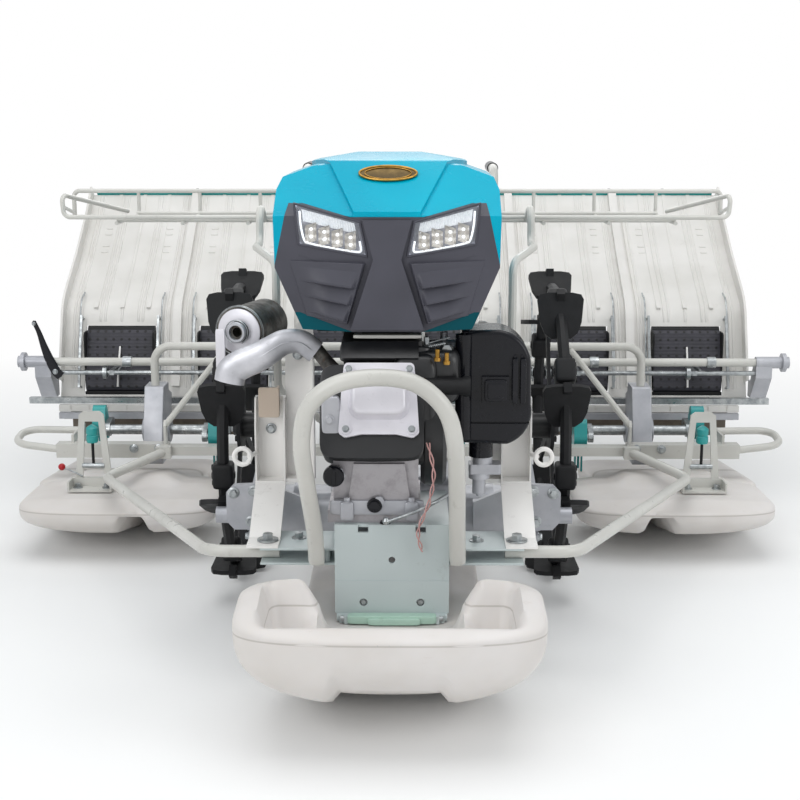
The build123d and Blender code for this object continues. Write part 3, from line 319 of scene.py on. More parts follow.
def engine_casting(name, line_z):
    """Aluminium crankcase below line_z in metres, and a cylinder in black heat-proof paint above it."""
    material, tree, shader, place = started(name)
    height = add(tree, "SeparateXYZ", (place,)).outputs["Z"]
    low, high = line_z - 0.0008, line_z + 0.0008
    dirt = add(tree, "TexNoise", fractal(place, 26, 8.0, 0.7))
    metal = toned(tree, dirt, 0.5, 0.8, "A6A3A6", "4A4642", 0.4)
    paint = toned(tree, dirt, 0.55, 0.75, "15161A", "35332F", 0.4)
    shine = add(tree, "MapRange", (height, low, high, 0.6, 0.1))
    sheen = add(tree, "MapRange", (dirt, 0.3, 0.75, 0.34, 0.55))
    fill(tree, shader, {"Base Color": toned(tree, height, low, high, metal, paint), "Metallic": shine,
                        "Roughness": sheen})
    grained(tree, shader, place, 1.3, 3.0, 0.35, 0.3)
    return material


def moulded_plastic(name, base, shade, gloss=0.45, grain_mm=0.9, grain_depth=0.12, grain_strength=0.25,
                    scuff=None, scuff_share=0.3):
    """Injection-moulded plastic: an even colour, an eroded mould grain, and scuffs where it is handled."""
    return layered(name, (120, 2.0, 0.5, 0.35, 0.65, base, shade),
                   scuff and (30, 9.0, 0.72, 0.6, 0.8, scuff, scuff_share),
                   (9, 4.0, 0.5, 0.3, 0.7, gloss - 0.05, gloss + 0.1),
                   (grain_mm, 2.0, grain_strength, grain_depth), {"Specular IOR Level": 0.3})


def gloss_paint_plastic(name, base, shade):
    """Coloured hood plastic under lacquer: a deep even colour with a low, slightly rippled reflection."""
    return layered(name, (220, 2.0, 0.5, 0.3, 0.7, base, shade), None, (60, 4.0, 0.5, 0.3, 0.7, 0.22, 0.3),
                   (90, 2.0, 0.08, 1.2),
                   {"Specular IOR Level": 0.08, "Coat Weight": 0.06, "Coat Roughness": 0.06})


def rubber(name, base="0E0F11", shade="1D1D1F", gloss=0.55):
    """Moulded rubber: near black, with a pale bloom and dried mud film in patches."""
    return layered(name, (22, 6.0, 0.6, 0.4, 0.72, base, shade), None, (0.3, 0.7, gloss - 0.1, gloss + 0.12),
                   (1.6, 4.0, 0.3, 0.3), {"Specular IOR Level": 0.3})


def belt_rubber(name, slope_deg, pip_mm=21.0, wave_mm=9.0):
    """Feed-belt rubber: round pips on a square grid and cross waves, both laid out along the belt's slope."""
    material, tree, shader, place = started(name)
    laid = add(tree, "Mapping", {"Vector": place, "Rotation": (math.radians(-slope_deg), 0, 0)})
    parts = add(tree, "SeparateXYZ", (laid,)).outputs
    flat = add(tree, "CombineXYZ", {"X": parts["X"], "Y": parts["Y"]})
    away = add(tree, "TexVoronoi", {"Vector": flat, "Scale": 1000 / pip_mm, "Randomness": 0.0})
    turns = add(tree, "Math", (parts["Y"], 2000 * math.pi / wave_mm), operation="MULTIPLY")
    wave = add(tree, "Math", (turns,), operation="SINE")
    bloom = add(tree, "TexNoise", fractal(place, 30, 6.0, 0.6))
    tone = toned(tree, bloom, 0.4, 0.7, "2A2A31", "3B3A42")
    sheen = add(tree, "MapRange", (bloom, 0.3, 0.7, 0.5, 0.66))
    pips = add(tree, "MapRange", (away, 0.13, 0.2, 1.0, 0))
    swell = add(tree, "MapRange", (wave, -1.0, 1.0, 0, 0.4))
    height = add(tree, "Math", (pips, swell), operation="ADD")
    fill(tree, shader, {"Base Color": toned(tree, away, 0.13, 0.2, "0B0B0D", tone), "Roughness": sheen,
                        "Normal": add(tree, "Bump", {"Height": height, "Strength": 0.6, "Distance": 0.0015})})
    return material


def float_plastic(name, seam_z):
    """Rotomoulded polyethylene: waxy off-white, a moulding seam at seam_z, brown scuffs and faint streaks."""
    material, tree, shader, place = started(name)
    drift = add(tree, "TexNoise", fractal(place, 160, 3.0))
    level = add(tree, "Mapping", {"Vector": place, "Scale": (1.0, 1.0, 3.5)})
    rub = add(tree, "TexNoise", fractal(level, 46, 10.0, 0.74))
    tone = toned(tree, drift, 0.35, 0.65, "DCD8D5", "D2CDC8")
    tone = toned(tree, rub, 0.62, 0.8, tone, "A89684", 0.38)
    height = add(tree, "SeparateXYZ", (place,)).outputs["Z"]
    above = add(tree, "Math", (height, seam_z), operation="SUBTRACT")
    away = add(tree, "Math", (above,), operation="ABSOLUTE")
    seam = add(tree, "MapRange", (away, 0.0006, 0.002, 1.0, 0))
    sheen = add(tree, "MapRange", (rub, 0.3, 0.8, 0.36, 0.58))
    grain = add(tree, "TexNoise", fractal(place, 4, 3.0))
    faint = add(tree, "MapRange", (grain, 0, 1.0, 0, 0.3))
    relief = add(tree, "Math", (faint, seam), operation="SUBTRACT")
    fill(tree, shader, {"Base Color": toned(tree, seam, 0, 1.0, tone, "8F877D", 0.45), "Roughness": sheen,
                        "Subsurface Weight": 0.06, "Subsurface Radius": (0.004, 0.003, 0.002),
                        "Normal": add(tree, "Bump", {"Height": relief, "Strength": 0.3, "Distance": 0.0008})})
    return material


def heat_steel(name):
    """Plain steel blued and browned by exhaust heat."""
    return layered(name, (34, 6.0, 0.6, 0.35, 0.62, "6C6A66", "3A3835"),
                   (12, 7.0, 0.7, 0.56, 0.74, "6B4A33", 0.7), (0.3, 0.7, 0.38, 0.68), (2, 3.0, 0.25, 0.2),
                   {"Metallic": 0.8})


def clear_lens(name):
    """Thin clear polycarbonate: see-through square on, mirror-like where it turns away."""
    material, tree, shader, place = started(name)
    edge = add(tree, "LayerWeight", {"Blend": 0.35}).outputs["Facing"]
    film = add(tree, "TexNoise", fractal(place, 30, 2.0))
    fill(tree, shader, {"Base Color": colour("E9EFF3"),
                        "Alpha": add(tree, "MapRange", (edge, 0, 1.0, 0.14, 0.75)),
                        "Roughness": add(tree, "MapRange", (film, 0.3, 0.7, 0.02, 0.06))})
    return material


def lamp_white(name, glow, roughness):
    """Opal light guide or diode: white, lit a little from inside."""
    material, tree, shader, place = started(name)
    cloud = add(tree, "TexNoise", fractal(place, 6, 3.0))
    tint = toned(tree, cloud, 0.35, 0.65, "F4F7FA", "E4E9EE")
    fill(tree, shader, {"Base Color": tint, "Emission Color": tint, "Emission Strength": glow,
                        "Roughness": roughness})
    return material


FINISHES = {
    "ivory_paint": enamel("cream_enamel_on_steel", "CBCAC4", "BFBEB8", gloss=0.3),
    "white_paint": enamel("white_enamel_on_steel", "F0EEEB", "E4E2DE", gloss=0.3),
    "grey_green_paint": enamel("grey_green_enamel_on_steel", "C2CCCC", "B6C1C1", gloss=0.36),
    "black_steel": enamel("black_enamel_on_steel", "141518", "0D0E10", grime="3A3733", gloss=0.34),
    "teal_paint": enamel("teal_enamel_on_castings", "1E9A98", "158688", gloss=0.35),
    "ivory_plastic": moulded_plastic("ivory_abs_sheet", "DEDCD8", "D5D3CE", 0.36, 1.2, 0.1, 0.15,
                                     "9A9388", 0.25),
    "teal_plastic": gloss_paint_plastic("teal_lacquered_abs", "00A9C3", "009CB8"),
    # Painted shade: the teal_dark slot is the same teal lacquer made darker, for the hood's lower side where
    # shade falls
    "teal_dark": gloss_paint_plastic("teal_lacquered_abs_painted_shade", "00525E", "004750"),
    "grey_plastic": moulded_plastic("charcoal_grained_polypropylene", "4B4B54", "43434B", 0.42, 0.8, 0.12,
                                    0.3),
    "black_plastic": moulded_plastic("black_moulded_nylon", "0B0C12", "121319", 0.2, 1.0, 0.04, 0.1,
                                     "4A4744", 0.2),
    "float_plastic": float_plastic("cream_rotomoulded_polyethylene", 0.118),
    "cast_aluminium": cast_aluminium("die_cast_aluminium"),
    "zinc_steel": zinc_plate("zinc_plated_steel"),
    "rubber_black": rubber("moulded_black_rubber"),
    "flap_rubber": rubber("brown_grey_flap_rubber", "6A6258", "7A7267", 0.62),
    "hot_steel": heat_steel("heat_stained_steel"),
    "gold_foil": zinc_plate("satin_gold_foil", "C2964A", "8C6A2C"),
    "lamp_lens": clear_lens("clear_polycarbonate_lens"),
}
BRIGHT_CASTING = cast_aluminium("bright_die_cast_aluminium", "E3E1E7", "D6D4DA", 0.15, 0.35)
# Nodes whose finish differs from the rest of their slot
NODE_FINISHES = {
    "valve_cover": BRIGHT_CASTING,
    "exhaust_shroud": BRIGHT_CASTING,
    "engine_block": engine_casting("painted_engine_casting", 0.447),
    "feed_belts": belt_rubber("ribbed_feed_belt_rubber", 73.0),
    "centre_float": float_plastic("cream_rotomoulded_polyethylene_bow", 0.2065),
    "tray_top_strip": moulded_plastic("green_teal_pvc_strip", "1C9A97", "158A88", 0.4, 1.0, 0.05, 0.15),
}
LAMP_CHROME = zinc_plate("vapour_chromed_reflector", "B9B9C4", "9C9CA8")
LAMP_CELL = zinc_plate("warm_chromed_led_dish", "DAD5CE", "B9B2A9")
BRONZE_FIELD = zinc_plate("satin_bronze_field", "6E5A34", "54452A")
LAMP_GLOW = lamp_white("opal_acrylic_light_guide", 0.9, 0.2)
LAMP_FROST = lamp_white("frosted_acrylic_flutes", 0.12, 0.4)

slots = {row["node"]: row["material_slot"] for row in frame["record"]["subparts"]}


# ---- CAD nodes: finishes and softened edges -------------------------------------------------------

# node, edge radius in metres, steps round the edge
SOFT_EDGES = (
    ("hood_shell", 0.007, 4), ("hood_fascia", 0.0022, 2), ("hood_skirts", 0.0016, 2),
    ("fuel_tank", 0.008, 3), ("air_cleaner", 0.0022, 2), ("engine_shroud", 0.002, 2),
    ("hood_stays", 0.0009, 2), ("outrigger_plates", 0.001, 2),
    ("swing_cases", 0.003, 3), ("gear_cases", 0.003, 3), ("transmission_case", 0.004, 3),
    ("planting_cases", 0.003, 3), ("planting_arms_outer", 0.003, 3), ("planting_arms_inner", 0.003, 3),
    ("wheel_left", 0.002, 2), ("wheel_right", 0.002, 2), ("console", 0.004, 3),
    ("tray_end_brackets", 0.0015, 2), ("mud_flaps", 0.001, 2),
)

for node_name, node_object in frame["nodes"].items():
    node_object.data.materials.clear()
    node_object.data.materials.append(NODE_FINISHES.get(node_name, FINISHES[slots[node_name]]))

for node_name, radius, steps in SOFT_EDGES:
    softened = frame["nodes"][node_name]
    weld = softened.modifiers.new("weld", "WELD")
    weld.merge_threshold = 0.00002
    edge = softened.modifiers.new("edge", "BEVEL")
    edge.width = radius
    edge.segments = steps
    edge.limit_method = "ANGLE"
    edge.angle_limit = math.radians(24.0)
    softened.modifiers.new("shading", "WEIGHTED_NORMAL")


# ---- Hood: lamps and badge ------------------------------------------------------------------------

# half across and height: outer top, inner top, inner foot, outer foot
LAMP_CORNERS = np.array([(0.157, 0.857), (0.046, 0.826), (0.034, 0.767), (0.15, 0.788)])


def lamp_point(side, across, down, depth):
    """A place in a lamp: across 0 at the outer edge to 1 at the inner, down 0 to 1, and depth."""
    across, down, depth = np.broadcast_arrays(across, down, depth)
    back, up = 1 - across, 1 - down
    weights = np.stack([back * up, across * up, across * down, back * down], -1)
    x, z = np.moveaxis(weights @ LAMP_CORNERS, -1, 0)
    y = HOOD_FRONT_Y - HOOD_FRONT_LEAN * (z - HOOD_FOOT_Z) + depth
    return np.stack([HOOD_X + side * x, y, z], -1)


def patch(left, right, columns, top, bottom, rows):
    """Shares across and down of a grid over part of a lamp."""
    return np.meshgrid(np.linspace(left, right, columns), np.linspace(top, bottom, rows))


def lamp(side, name):
    """One lamp: a chromed bowl, four cells with diodes, a light guide, flutes and a frame.  Gives its lens.

    With u and v from -1 to 1 over each, the bowl is 17 (1 - |u|^12) (1 - |v|^8) mm deep, a cell's dish
    8 max(|u|, |v|)^2.4 mm, the lens 2.2 (1 - u^4) (1 - v^4) mm proud, and the flutes are a 0.7 mm cosine.
    """
    across, down = patch(0.012, 0.988, 40, 0.02, 0.98, 26)
    edge = (1 - np.abs(2 * across - 1) ** 12) * (1 - np.abs(2 * down - 1) ** 8)
    bowl = (lamp_point(side, across, down, 0.001 + 0.017 * edge), False, False)
    piece(f"{name}_lamp_bowl", [bowl], "hood", "lamp_lens", LAMP_CHROME)
    cells, lights = [], []
    half_wide, half_high = 0.0095, 0.0155
    for cell in range(4):
        centre = lamp_point(side, 0.2 + 0.195 * cell, 0.66, 0.013)
        u, v = patch(-1, 1, 15, -1, 1, 15)
        dish = 0.008 * np.maximum(np.abs(u), np.abs(v)) ** 2.4
        tilt = -0.0028 * side * u
        points = np.stack([centre[0] + half_wide * u, centre[1] - dish, centre[2] + half_high * v + tilt], -1)
        cells.append((points, False, False))
        for row in (-0.42, 0.42):
            chip = (centre[0], centre[1] - 0.0005, centre[2] + half_high * row)
            dome = [(0, 0.0032), (0.0016, 0.003), (0.0026, 0.0018), (0.003, 0)]
            lights.append(turned(dome, chip, -Y, 16))
    piece(f"{name}_lamp_cells", cells, "hood", "lamp_lens", LAMP_CELL)
    piece(f"{name}_lamp_diodes", lights, "hood", "lamp_lens", LAMP_GLOW)
    route = [(0.07, 0.16, 0.006), (0.06, 0.5, 0.006), (0.085, 0.86, 0.006), (0.16, 0.93, 0.006),
             (0.5, 0.95, 0.006), (0.84, 0.93, 0.006), (0.92, 0.86, 0.006), (0.93, 0.6, 0.006)]
    guide = smoothed([lamp_point(side, *knot) for knot in route], 60)
    piece(f"{name}_lamp_guide", [tube(guide, 0.0019, 10, Y)], "hood", "lamp_lens", LAMP_GLOW)
    across, down = patch(0.1, 0.9, 120, 0.1, 0.4, 8)
    flutes = 0.009 + 0.0007 * np.cos(2 * np.pi * 26 * across)
    fluted = (lamp_point(side, across, down, flutes), False, False)
    piece(f"{name}_lamp_flutes", [fluted], "hood", "lamp_lens", LAMP_FROST)
    across, down = patch(0.004, 0.996, 24, 0.006, 0.994, 16)
    bulge = 0.0008 - 0.0022 * (1 - (2 * across - 1) ** 4) * (1 - (2 * down - 1) ** 4)
    lens = (lamp_point(side, across, down, bulge), False, False)
    corners = np.array([(0, 0), (1, 0), (1, 1), (0, 1), (0, 0)])
    rim = np.concatenate([np.linspace(a, b, 20, endpoint=False) for a, b in zip(corners[:-1], corners[1:])])
    frame_line = lamp_point(side, rim[:, 0], rim[:, 1], 0.0002)
    piece(f"{name}_lamp_frame", [tube(frame_line, 0.0022, 10, Y, True)], "hood", "grey_plastic")
    return lens


BADGE_CENTRE = np.array([HOOD_X, -0.723, 0.9001])
BADGE_AXIS = np.array([0, -0.4542, 0.8909])
BADGE_HALF = (0.052, 0.026)


def badge():
    """Bare oval badge: a dished bronze field inside a raised gold rim."""
    wide, high = BADGE_HALF
    dish = [(0.0008, 0), (0.0012, wide * 0.5), (0.003, wide * 0.93), (0.003, wide * 0.98)]
    field = turned(dish, BADGE_CENTRE, BADGE_AXIS, 64, high / wide)
    piece("badge_field", [field], "hood", "gold_foil", BRONZE_FIELD, ("hood_badge",))
    turn = np.linspace(0, 2 * np.pi, 96, endpoint=False)[:, None]
    _, first, second = crossways(BADGE_AXIS)
    for name, share, radius in (("badge_rim", 0.97, 0.002), ("badge_inner_ring", 0.78, 0.0009)):
        line = BADGE_CENTRE + 0.0032 * BADGE_AXIS
        line = line + share * (wide * np.cos(turn) * first + high * np.sin(turn) * second)
        piece(name, [tube(line, radius, 10, BADGE_AXIS, True)], "hood", "gold_foil")


# ---- Wheels ---------------------------------------------------------------------------------------

def wheel_trim(side, body):
    """Square bosses with rivets where the lugs clamp the rim, the hub's bolts and the axle's nut."""
    hub = np.array([side * TRACK_X, AXLE[1], AXLE[2]])
    rivet = [(0, 0), (0, 0.0062), (0.004, 0.0056), (0.0048, 0)]
    bosses = []
    for lug in range(LUGS):
        out = radial(FIRST_LUG_DEG + lug * 360.0 / LUGS)
        along = np.cross(X, out)
        centre = hub + RIM_R * out
        bosses.append(block(centre, (0.021, 0.019, 0.026), 0.3, X, out))
        bosses.append(block(centre + 0.001 * out, (0.0235, 0.008, 0.008), 0.3, X, out))
        for shift in (-0.016, 0.016):
            head = centre + side * 0.019 * X + shift * along
            bosses.append(turned(rivet, head, side * X, 14))
    for spoke in range(4):
        centre = hub + side * 0.006 * X + HUB_BOLT_R * radial(45 + 90 * spoke)
        bosses.append(turned([(0, 0), (0, 0.007), (0.005, 0.007), (0.006, 0)], centre, side * X, 6))
    piece(f"{body}_bosses", bosses, body, "rubber_black")
    end = np.array([side * (AXLE_HIGH[0] - 0.013), AXLE[1], AXLE[2]])
    piece(f"{body}_axle_nut", bolt(end, side * X, 0.03, 0.021, 0.009), "chassis", "zinc_steel")


# ---- Fasteners ------------------------------------------------------------------------------------

ENGINE_FACE = np.array([-0.022, -0.861, 0.526])
ENGINE_OUT = np.array([0, -0.9272, 0.3746])
ENGINE_UP = np.array([0, 0.3746, 0.9272])

# centre, axis, width across flats, washer radius, head height; each is mirrored
PAIRED_BOLTS = (
    ((0.221, -0.83, 0.264), Z, 0.017, 0.019, 0.01),
    ((0.3, -0.679, 0.308), -Y, 0.013, 0.011, 0.008),
    ((0.268, -0.679, 0.252), -Y, 0.013, 0.011, 0.008),
    ((0.262, -0.679, 0.312), -Y, 0.013, 0.011, 0.008),
    ((0.176, -0.667, 0.57), -Y, 0.012, 0.01, 0.007),
    ((0.172, -0.667, 0.44), -Y, 0.012, 0.01, 0.007),
    ((0.228, -0.667, 0.43), -Y, 0.012, 0.01, 0.007),
    ((0.678, -0.069, 0.148), Z, 0.013, 0.011, 0.008),
    ((0.746, -0.069, 0.148), Z, 0.013, 0.011, 0.008),
    ((0.09, -0.512, 0.336), Z, 0.013, 0.01, 0.007),
    ((0.58, 0.073, 0.208), -Y, 0.013, 0.011, 0.008),
    ((0.64, 0.071, 0.208), -Y, 0.013, 0.011, 0.008),
)
# centre on the cylinder's front face: across, up, out
COVER_BOLTS = ((-0.052, 0.05, 0.015), (0.052, 0.05, 0.015), (-0.056, -0.054, 0.015), (0.056, -0.054, 0.015))
EAR_CENTRE, EAR_RING = np.array([0.276, -0.605, 0.243]), 0.048
EAR_ANGLES_DEG = (100, 160, 220, 280, 340)


def on_engine(across, up, out):
    """A place by the cylinder's sloping front face: across it, up it and out from it."""
    return ENGINE_FACE + across * X + up * ENGINE_UP + out * ENGINE_OUT


def fasteners():
    """The chassis bolts on both sides, the ring of bolts round each swing case and the valve cover's four."""
    bolts = []
    for centre, axis, across, washer, head in PAIRED_BOLTS:
        for side in (1, -1):
            bolts.extend(bolt(np.array(centre) * (side, 1, 1), axis, across, washer, head))
    for side in (1, -1):
        for angle in EAR_ANGLES_DEG:
            place = EAR_CENTRE * (side, 1, 1) + EAR_RING * radial(angle)
            bolts.extend(bolt(place, side * X, 0.012, 0.009, 0.006))
    piece("chassis_bolts", bolts, "chassis", "zinc_steel")
    heads = []
    for spot in COVER_BOLTS:
        heads.extend(bolt(on_engine(*spot), ENGINE_OUT, 0.01, 0, 0.006))
    piece("valve_cover_bolts", heads, "chassis", "zinc_steel")


# ---- Engine, silencer and exhaust -----------------------------------------------------------------

MUFFLER_FRONT = np.array([-0.287, -0.639, 0.608])
MUFFLER_REAR = np.array([-0.248, -0.517, 0.608])


def muffler_trim():
    """The silencer's rolled end ring, its outlet's collar and a spring clamp round the outlet."""
    out = crossways(MUFFLER_FRONT - MUFFLER_REAR)[0]
    roll = [(-0.001, 0.0465), (0.0006, 0.0486), (0.003, 0.0488), (0.0046, 0.0466), (0.003, 0.045)]
    ring = turned(roll, MUFFLER_FRONT - 0.004 * out, out, 64)
    collar = [turned([(0, 0.0128), (0, 0.019), (0.01, 0.0196), (0.0125, 0.0178), (0.0125, 0.0136),
                      (0.002, 0.0128)], MUFFLER_FRONT + 0.004 * out, out, 40)]
    piece("muffler_end_ring", [ring], "chassis", "zinc_steel")
    piece("muffler_outlet_collar", collar, "chassis", "cast_aluminium")
    turn = np.linspace(0.15 * np.pi, 1.85 * np.pi, 60) - np.pi / 2
    _, first, second = crossways(out)
    circle = np.cos(turn)[:, None] * first + np.sin(turn)[:, None] * second
    loop = MUFFLER_FRONT + 0.012 * out + 0.0225 * circle
    piece("muffler_spring_clamp", [tube(loop, 0.0011, 8, out)], "chassis", "zinc_steel")


def spring(start, end, radius, wire, turns):
    """A helix: start + t (end - start) + radius (cos a, sin a), a = 2 pi turns t."""
    start, end = np.array(start), np.array(end)
    _, first, second = crossways(end - start)
    t = np.linspace(0, 1, int(turns * 18))[:, None]
    angle = 2 * np.pi * turns * t
    path = start + t * (end - start) + radius * (np.cos(angle) * first + np.sin(angle) * second)
    return tube(path, wire, 6, (end - start) / np.linalg.norm(end - start))


BLOWER_CENTRE = np.array([0.0955, -0.745, 0.452])


def engine_trim():
    """Governor rods and spring, carburettor studs, oil plugs, and the ribs of the blower and air cleaner."""
    rods = (((0.03, -0.79, 0.6), (0.06, -0.8, 0.612), (0.1, -0.79, 0.622)),
            ((0.028, -0.8, 0.585), (0.07, -0.812, 0.59), (0.112, -0.792, 0.596)))
    linkage = [*(tube(smoothed(rod, 24), 0.0013, 8) for rod in rods),
               spring((0.04, -0.806, 0.604), (0.092, -0.806, 0.614), 0.0034, 0.0007, 16)]
    piece("governor_linkage", linkage, "chassis", "zinc_steel")
    nuts = [turned([(0, 0), (0, 0.0085), (0.006, 0.0085), (0.007, 0)], (0.095, -0.806, 0.604), -Y, 6),
            turned([(0, 0), (0, 0.0055), (0.012, 0.005), (0.014, 0)], (0.06, -0.8, 0.612), Z, 12)]
    piece("carburettor_studs", nuts, "chassis", "zinc_steel")
    plug = [turned([(0, 0), (0, 0.016), (0.004, 0.018), (0.01, 0.018), (0.012, 0.015), (0.012, 0)],
                   (-0.098, -0.869, 0.394), -Y, 8),
            turned([(0, 0), (0, 0.01), (0.006, 0.0095), (0.007, 0)], (-0.022, -0.867, 0.347), -Y, 6)]
    piece("oil_plugs", plug, "chassis", "cast_aluminium")
    ribs = []
    for rib in range(7):
        out = radial(90 + 22 * (rib - 3))
        centre = BLOWER_CENTRE + 0.072 * out
        ribs.append(block(centre, (0.0022, 0.02, 0.0035), 0.4, X, out, 9, 16))
    piece("blower_housing_ribs", ribs, "chassis", "black_steel")
    clips = [block((0.216, -0.795, 0.545), (0.005, 0.0035, 0.04), 0.3),
             block((0.23, -0.795, 0.545), (0.005, 0.0035, 0.04), 0.3),
             block((0.182, -0.796, 0.528), (0.02, 0.003, 0.019), 0.25),
             block((0.182, -0.7985, 0.528), (0.015, 0.002, 0.014), 0.25)]
    piece("air_cleaner_ribs", clips, "chassis", "black_plastic")


def cylinder_dress():
    """What stands round the rocker cover: the finned head, the black cowl and the shadowed inlet side."""
    fins = [block(on_engine(-0.012, -0.02, -0.006 - 0.0085 * fin), (0.09, 0.082, 0.0018), 0.25, X, ENGINE_UP)
            for fin in range(11)]
    core = block(on_engine(0, 0, -0.06), (0.07, 0.064, 0.052), 0.3, X, ENGINE_UP)
    piece("cylinder_fins", fins + [core], "chassis", "black_steel")
    cowl = [block((0.04, -0.8, 0.5), (0.04, 0.045, 0.1), 0.35),
            block((-0.012, -0.788, 0.596), (0.08, 0.034, 0.016), 0.3),
            block((0.07, -0.786, 0.556), (0.05, 0.046, 0.05), 0.45)]
    piece("cylinder_cowl", cowl, "chassis", "black_steel")
    inlet = [turned([(0, 0), (0, 0.015), (0.08, 0.015), (0.085, 0.018), (0.095, 0.018), (0.095, 0)],
                    (0.04, -0.842, 0.545), X, 24)]
    piece("inlet_pipe", inlet, "chassis", "rubber_black")
    brass = [turned([(0, 0), (0, 0.006), (0.006, 0.006), (0.007, 0.004), (0.02, 0.004), (0.021, 0)],
                    (x, -0.846, z), Z, 12) for x, z in ((0.078, 0.59), (0.094, 0.584))]
    piece("carburettor_jets", brass, "chassis", "gold_foil")
    tabs = [block((-0.104, -0.872, 0.5), (0.016, 0.008, 0.034), 0.35)]
    tabs += bolt((-0.106, -0.88, 0.494), -Y, 0.011, 0.009, 0.006)
    piece("cylinder_side_tab", tabs, "chassis", "cast_aluminium")
    studs = []
    for x in (-0.078, 0.034):
        studs.append(block((x, -0.868, 0.33), (0.012, 0.008, 0.017), 0.3))
        studs += bolt((x, -0.872, 0.346), Z, 0.01, 0.008, 0.006)
    foot = block((-0.026, -0.864, 0.335), (0.082, 0.006, 0.013), 0.2)
    piece("crankcase_feet", studs + [foot], "chassis", "cast_aluminium")
    drain = ((0, 0), (0, 0.013), (0.004, 0.0135), (0.007, 0.012), (0.007, 0.0095), (0.013, 0.009),
             (0.014, 0))
    filler = ((0, 0), (0, 0.017), (0.004, 0.0185), (0.013, 0.0185), (0.016, 0.016), (0.016, 0))
    plug = [turned(drain, (-0.03, -0.868, 0.34), -Y, 24), turned(filler, (-0.1, -0.868, 0.394), -Y, 28),
            block((-0.1, -0.885, 0.394), (0.0035, 0.003, 0.015), 0.3)]
    piece("drain_and_filler_plugs", plug, "chassis", "black_plastic")
    knots = ((-0.006, -0.886, 0.316), (0.034, -0.888, 0.331), (0.07, -0.878, 0.345), (0.1, -0.84, 0.352))
    rod = smoothed(knots, 40)
    ball = turned([(-0.007, 0), (-0.0055, 0.0045), (0, 0.007), (0.0055, 0.0045), (0.007, 0)],
                  (-0.01, -0.884, 0.316), Z, 20)
    piece("clutch_rod", [tube(rod, 0.0032, 12), ball], "chassis", "zinc_steel")
    grommet = turned([(0, 0), (0, 0.012), (0.003, 0.01), (0.005, 0.005), (0.006, 0)],
                     (-0.012, -0.8635, 0.3062), Z, 28, 0.8)
    piece("clutch_rod_grommet", [grommet], "chassis", "rubber_black")


def muffler_face():
    """The silencer's face plate: a flat ring square to its axis, with a strap down to the pipe."""
    out = crossways(MUFFLER_FRONT - MUFFLER_REAR)[0]
    ring = turned([(0, 0.0205), (0, 0.0415), (0.0006, 0.0425), (0.0026, 0.0425), (0.0032, 0.0415),
                   (0.0032, 0.0205), (0, 0.0205)], MUFFLER_FRONT - 0.0016 * out, out, 64)
    strap = block(MUFFLER_FRONT + np.array([-0.034, -0.012, -0.036]), (0.0095, 0.0016, 0.042), 0.2,
                  (0.9526, -0.3042, 0), (0.3042, 0.9526, 0))
    piece("muffler_face_ring", [ring, strap], "chassis", "cast_aluminium", BRIGHT_CASTING, ("muffler_plate",))
    ledge = block((HOOD_X, -0.796, 0.6255), (0.06, 0.012, 0.0032), 0.2)
    piece("hood_rest_ledge", [ledge], "chassis", "ivory_paint")


PIPE_Y = -0.731


def exhaust_pipe():
    """Pressed exhaust pipe: an oval tube that dips under the silencer and swells towards its mouth."""
    knots = ((-0.138, 0.585), (-0.165, 0.604), (-0.195, 0.603), (-0.22, 0.589), (-0.246, 0.574),
             (-0.27, 0.564), (-0.29, 0.55), (-0.296, 0.528))
    path = smoothed([(x, PIPE_Y, z) for x, z in knots], 90)
    t = np.linspace(0, 1, 90)
    radius = (0.0215 + 0.006 * smooth_step(t, 0.1, 0.7)) * (t < 0.995)
    points, round_rows, round_columns = tube(path, radius, 32, Y)
    points[..., 1] = PIPE_Y + 0.52 * (points[..., 1] - PIPE_Y)
    seam = path + np.array([0, -0.0128, 0])
    grids = [(points, round_rows, round_columns), tube(seam[4:-4], 0.001, 8, Y)]
    finish = cast_aluminium("aluminised_steel_pressing", "D2D2D7", "A3A4A9", 0.35, 0.7)
    piece("exhaust_pipe", grids, "chassis", "cast_aluminium", finish, ("exhaust_shroud",))


def engine_leads():
    """A twisted pair of leads hanging beside the bumper, and the angle bracket below the exhaust pipe."""
    t = np.linspace(0, 1, 90)[:, None]
    line = smoothed(((0.062, -0.872, 0.452), (0.072, -0.884, 0.4), (0.064, -0.89, 0.35),
                     (0.046, -0.889, 0.3), (0.052, -0.888, 0.262)), 90)
    twist = 0.0026 * np.concatenate([np.cos(24 * t), np.sin(24 * t), np.zeros_like(t)], 1)
    piece("engine_leads", [tube(line + twist, 0.0013, 8, Y), tube(line - twist, 0.0013, 8, Y)], "chassis",
          "rubber_black", enamel("rose_pvc_lead", "C79C98", "B98A86", gloss=0.35))
    angle = [block((-0.228, -0.7, 0.486), (0.019, 0.0025, 0.028), 0.15),
             block((-0.212, -0.69, 0.486), (0.0025, 0.012, 0.028), 0.15)]
    sand = enamel("sand_enamel_on_steel", "C5B5A4", "B7A695")
    piece("silencer_bracket", angle, "chassis", "ivory_paint", sand)


# ---- Seedling tray --------------------------------------------------------------------------------

ROW_PITCH, TRAY_SHIFT = 0.3, 0.012
TRAY_LINE = np.array([(0.467, 0.495), (0.64, 0.602), (0.785, 0.707), (0.846, 0.767)])
ROW_X = [(row - 2.5) * ROW_PITCH + TRAY_SHIFT for row in range(6)]
SHEET_HALF, TRAY_BEND = 0.0025, 0.09
RIB_HALF, RIB_HIGH = 0.0036, 0.003


